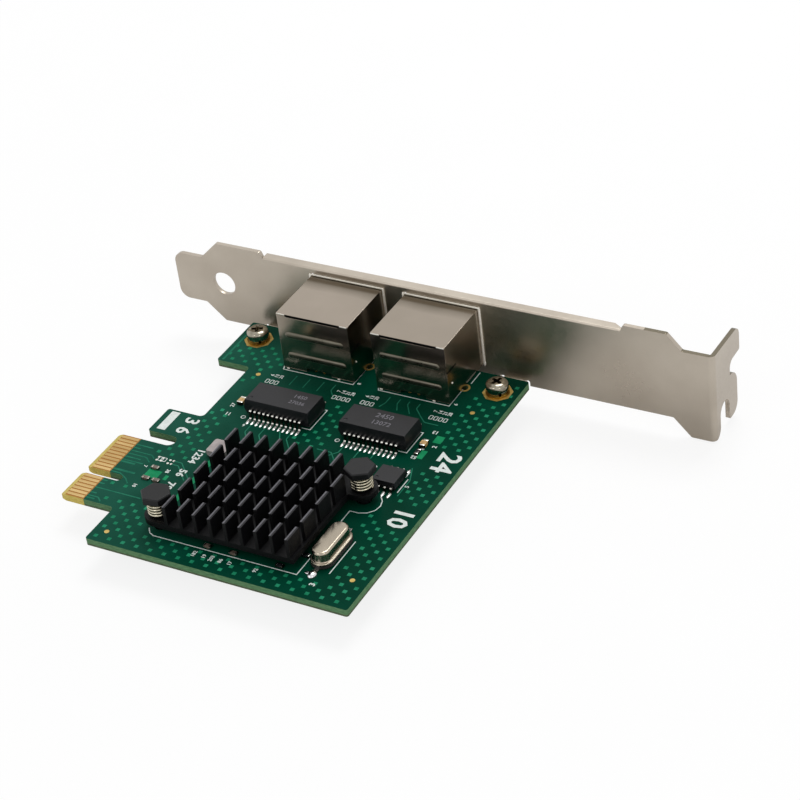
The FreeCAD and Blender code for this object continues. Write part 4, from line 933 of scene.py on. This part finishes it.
# words, middle x, middle y, size, turn, how much the strokes are thickened
figures = [
    ("24", 65.4, 26.1, 6.2, -90, 0.12), ("10", 65.3, 8.3, 5.6, -90, 0.14),
    ("3 6", 11.6, 19.1, 4.2, -90, 0.08), ("1234", 18.9, 11.2, 2.3, -90, 0.06),
    ("56", 18.9, 5.6, 2.3, -90, 0.06), ("78", 18.9, 1.4, 2.3, -90, 0.06), ("182", 34.6, -14.4, 1.1, 90, 0.02),
    ("19", 36.75, -14.4, 1.1, 90, 0.02), ("203", 38.4, -14.4, 1.1, 90, 0.02),
    ("86", 40.3, -14.4, 1.1, 90, 0.02), ("17", 42.3, -14.4, 1.1, 90, 0.02),
    ("92", 47.8, -14.4, 1.1, 90, 0.02), ("3", 59.6, -14.0, 1.6, 90, 0.05), ("5", 62.1, 17.1, 1.2, 90, 0.02),
    ("8", 37.2, 43.3, 1.1, 90, 0.02), ("6", 58.7, 43.6, 1.1, 90, 0.02), ("13", 59.2, 34.1, 1.3, 180, 0.03),
    ("2", 61.2, 29.9, 1.3, 90, 0.03), ("6", 59.3, 28.5, 1.1, 90, 0.03), ("41", 58.8, 27.1, 1.1, 180, 0.02),
    ("52", 58.9, 25.7, 1.2, 180, 0.03), ("11", 17.3, 25.5, 1.3, 180, 0.03), ("27", 16.7, 28.3, 1.2, 90, 0.02),
    ("9", 22.3, 23.1, 1.1, 0, 0.02), ("38", 16.1, 5.1, 1.1, -90, 0.03), ("10", 12.4, -0.9, 1.1, -90, 0.03),
    ("7", 11.0, 5.0, 1.1, -90, 0.02),
]

# the package, words, shift along x and y from its middle, size
packageFigures = [
    ("transformer_body_left", "1450", 3.2, 1.2, 1.5), ("transformer_body_left", "27036", 3.4, -0.7, 1.4),
    ("transformer_body_right", "2450", 0.6, 1.3, 1.9), ("transformer_body_right", "13072", 0.9, -0.9, 1.7),
]


def makeInk(look):
    bm = bmesh.new()
    for points in inkLines.values():
        drawLine(bm, points, look["line"])
    sides = look["ringSides"]
    for x, y, radius in inkRings:
        ring = [(x + radius * math.cos(a * math.tau / sides), y + radius * math.sin(a * math.tau / sides))
                for a in range(sides)]
        drawLine(bm, ring, look["ring"], True)
    finishPiece("inkOutlines", bm, "solder_mask", "silkInk", recalc=False)
    bm = bmesh.new()
    for x, y, width, length in inkBlocks:
        addTile(bm, x, y, width, length, boardTop, look["blockRise"])
    wide, long = look["boxHalfWide"], look["boxHalfLong"]
    for x, y, columns in labelledRows + plainRows:
        for step in spread(columns, look["boxPitch"]):
            left, right = x + step - wide, x + step + wide
            box = [(left, y - long), (right, y - long), (right, y + long), (left, y + long)]
            drawLine(bm, box, look["box"], True, look["boxBend"])
    finishPiece("inkBoxes", bm, "solder_mask", "silkInk", recalc=False)
    bm = bmesh.new()
    level = boardTop + look["lift"] * mm
    for words, x, y, size, turn, thick in figures:
        writeText(bm, words, x, y, size, level, turn, thick)
    for x, y, columns in labelledRows:
        for column, step in enumerate(spread(columns, look["boxPitch"])):
            writeText(bm, str(3 + 7 * column + columns), x + step, y + look["labelShift"], look["labelSize"],
                      level, 90, look["labelThick"])
    finishPiece("inkFigures", bm, "solder_mask", "silkInk", smooth=False, recalc=False)
    bm = bmesh.new()
    for node, words, shiftX, shiftY, size in packageFigures:
        low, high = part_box(node)
        x, y = (low.x + high.x) / 2 / mm + shiftX, (low.y + high.y) / 2 / mm + shiftY
        level = high.z + look["markLift"] * mm
        writeText(bm, words, x, y, size, level, 0, look["markThick"], look["markRise"])
    finishPiece("packageMarks", bm, "package_black", "packageInk", smooth=False, recalc=False)


makeInk(inkLook)
print("ink drawn")


# small bare pads

barePads = {"radius": 0.26, "rise": 0.03, "sides": 16,
            "places": [(14.7, 8.3), (15.5, 8.3), (14.7, 7.3), (15.5, 7.3), (13.0, 8.45), (13.0, 7.5),
                       (12.0, 8.45), (12.0, 7.5)]}


def makeBarePads(shape):
    bm = bmesh.new()
    radius = shape["radius"] * mm
    for x, y in shape["places"]:
        bmesh.ops.create_cone(bm, cap_ends=True, segments=shape["sides"], radius1=radius, radius2=radius,
                              depth=shape["rise"] * mm, matrix=at(x, y, boardTop))
    finishPiece("barePads", bm, "solder", "tinnedLead")


makeBarePads(barePads)


# studio: floor, soft lamps and a white surround

studio = {"floorDrop": 0.4, "floorSize": 2.4, "floorMiddle": (0.035, 0.02), "floorShade": (250, 250, 250),
          "floorLight": (253, 253, 253), "floorRough": 0.9, "floorGrain": 40, "floorSpecular": 0.1,
          "floorGlow": 0.84, "worldLight": 0.6, "lampAim": (0.04, 0.03, 0.0),
          "lamps": {"keyLamp": {"place": (0.0, 0.5, 0.95), "size": 0.5, "power": 4.2},
                    "fillLamp": {"place": (0.75, -0.45, 0.55), "size": 0.3, "power": 0.7},
                    "frontLamp": {"place": (-0.15, -0.75, 0.75), "size": 0.3, "power": 0.8}}}


def mixSurfaces(tree, share, plain, white, output):
    mix = addNode(tree, "ShaderNodeMixShader", Fac=share)
    tree.links.new(plain.outputs[0], mix.inputs[1])
    tree.links.new(white.outputs[0], mix.inputs[2])
    tree.links.new(mix.outputs[0], tree.nodes[output].inputs["Surface"])


def makeFloor(look):
    # pale, and white where the camera sees it, with the card's shadow kept
    finish, tree, shader, place = startFinish("paleFloor", look["floorRough"])
    grain = addNoise(tree, place, look["floorGrain"])
    tint(tree, shader, addTones(tree, grain, look["floorShade"], look["floorLight"]))
    shader.inputs["Specular IOR Level"].default_value = look["floorSpecular"]
    glow = addNode(tree, "ShaderNodeEmission", Color=(1, 1, 1, 1), Strength=1.0)
    seen = tree.nodes.new("ShaderNodeLightPath").outputs["Is Camera Ray"]
    mixSurfaces(tree, addMath(tree, "MULTIPLY", seen, look["floorGlow"]), shader, glow, "Material Output")
    bm = bmesh.new()
    bmesh.ops.create_grid(bm, x_segments=4, y_segments=4, size=look["floorSize"] / 2)
    lowest = min(cadBox[0].z, cadBox[1].z) - look["floorDrop"] * mm
    bmesh.ops.translate(bm, verts=bm.verts, vec=(*look["floorMiddle"], lowest))
    mesh = bpy.data.meshes.new("studioFloor")
    bm.to_mesh(mesh)
    bm.free()
    mesh.materials.append(finish)
    addObject("studioFloor", mesh)


def makeLamps(look):
    for name, lamp in look["lamps"].items():
        data = bpy.data.lights.new(name, "AREA")
        data.shape = "DISK"
        data.size = lamp["size"]
        data.energy = lamp["power"]
        added = addObject(name, data)
        added.location = lamp["place"]
        added.rotation_mode = "QUATERNION"
        added.rotation_quaternion = (Vector(lamp["place"]) - Vector(look["lampAim"])).to_track_quat("Z", "Y")


def makeSurround(look):
    # lights the card softly, and is white to the rays that see the background
    world = bpy.data.worlds.new("softSurround")
    world.use_nodes = True
    bpy.context.scene.world = world
    tree = world.node_tree
    light = tree.nodes["Background"]
    light.inputs["Color"].default_value = (1, 1, 1, 1)
    light.inputs["Strength"].default_value = look["worldLight"]
    white = addNode(tree, "ShaderNodeBackground", Color=(1, 1, 1, 1), Strength=1.0)
    rays = tree.nodes.new("ShaderNodeLightPath").outputs
    seen = addMath(tree, "MAXIMUM", rays["Is Camera Ray"], rays["Is Glossy Ray"])
    seen = addMath(tree, "MAXIMUM", seen, rays["Is Transmission Ray"])
    mixSurfaces(tree, seen, light, white, "World Output")


makeFloor(studio)
makeLamps(studio)
makeSurround(studio)


cameraSettings = {"place": (0.253498, -0.278784, 0.269105), "turn": 34.591, "down": 35.326, "roll": -8.589,
                  "lens": 106.9, "sensor": 36, "shiftX": 0.0755, "shiftY": 0.018, "clipStart": 0.01}


def makeCamera(look):
    data = bpy.data.cameras.new("studioCamera")
    data.lens = look["lens"]
    data.sensor_width = look["sensor"]
    data.shift_x = look["shiftX"]
    data.shift_y = look["shiftY"]
    data.clip_start = look["clipStart"]
    camera = addObject("studioCamera", data)
    turn, down = math.radians(look["turn"]), math.radians(look["down"])
    forward = Vector((-math.sin(turn) * math.cos(down), math.cos(turn) * math.cos(down), -math.sin(down)))
    level = forward.to_track_quat("-Z", "Y")
    camera.rotation_mode = "QUATERNION"
    camera.rotation_quaternion = level @ Matrix.Rotation(math.radians(look["roll"]), 4, "Z").to_quaternion()
    camera.location = look["place"]
    bpy.context.scene.camera = camera


makeCamera(cameraSettings)
bpy.context.scene.view_settings.view_transform = "Standard"
print("studio ready")
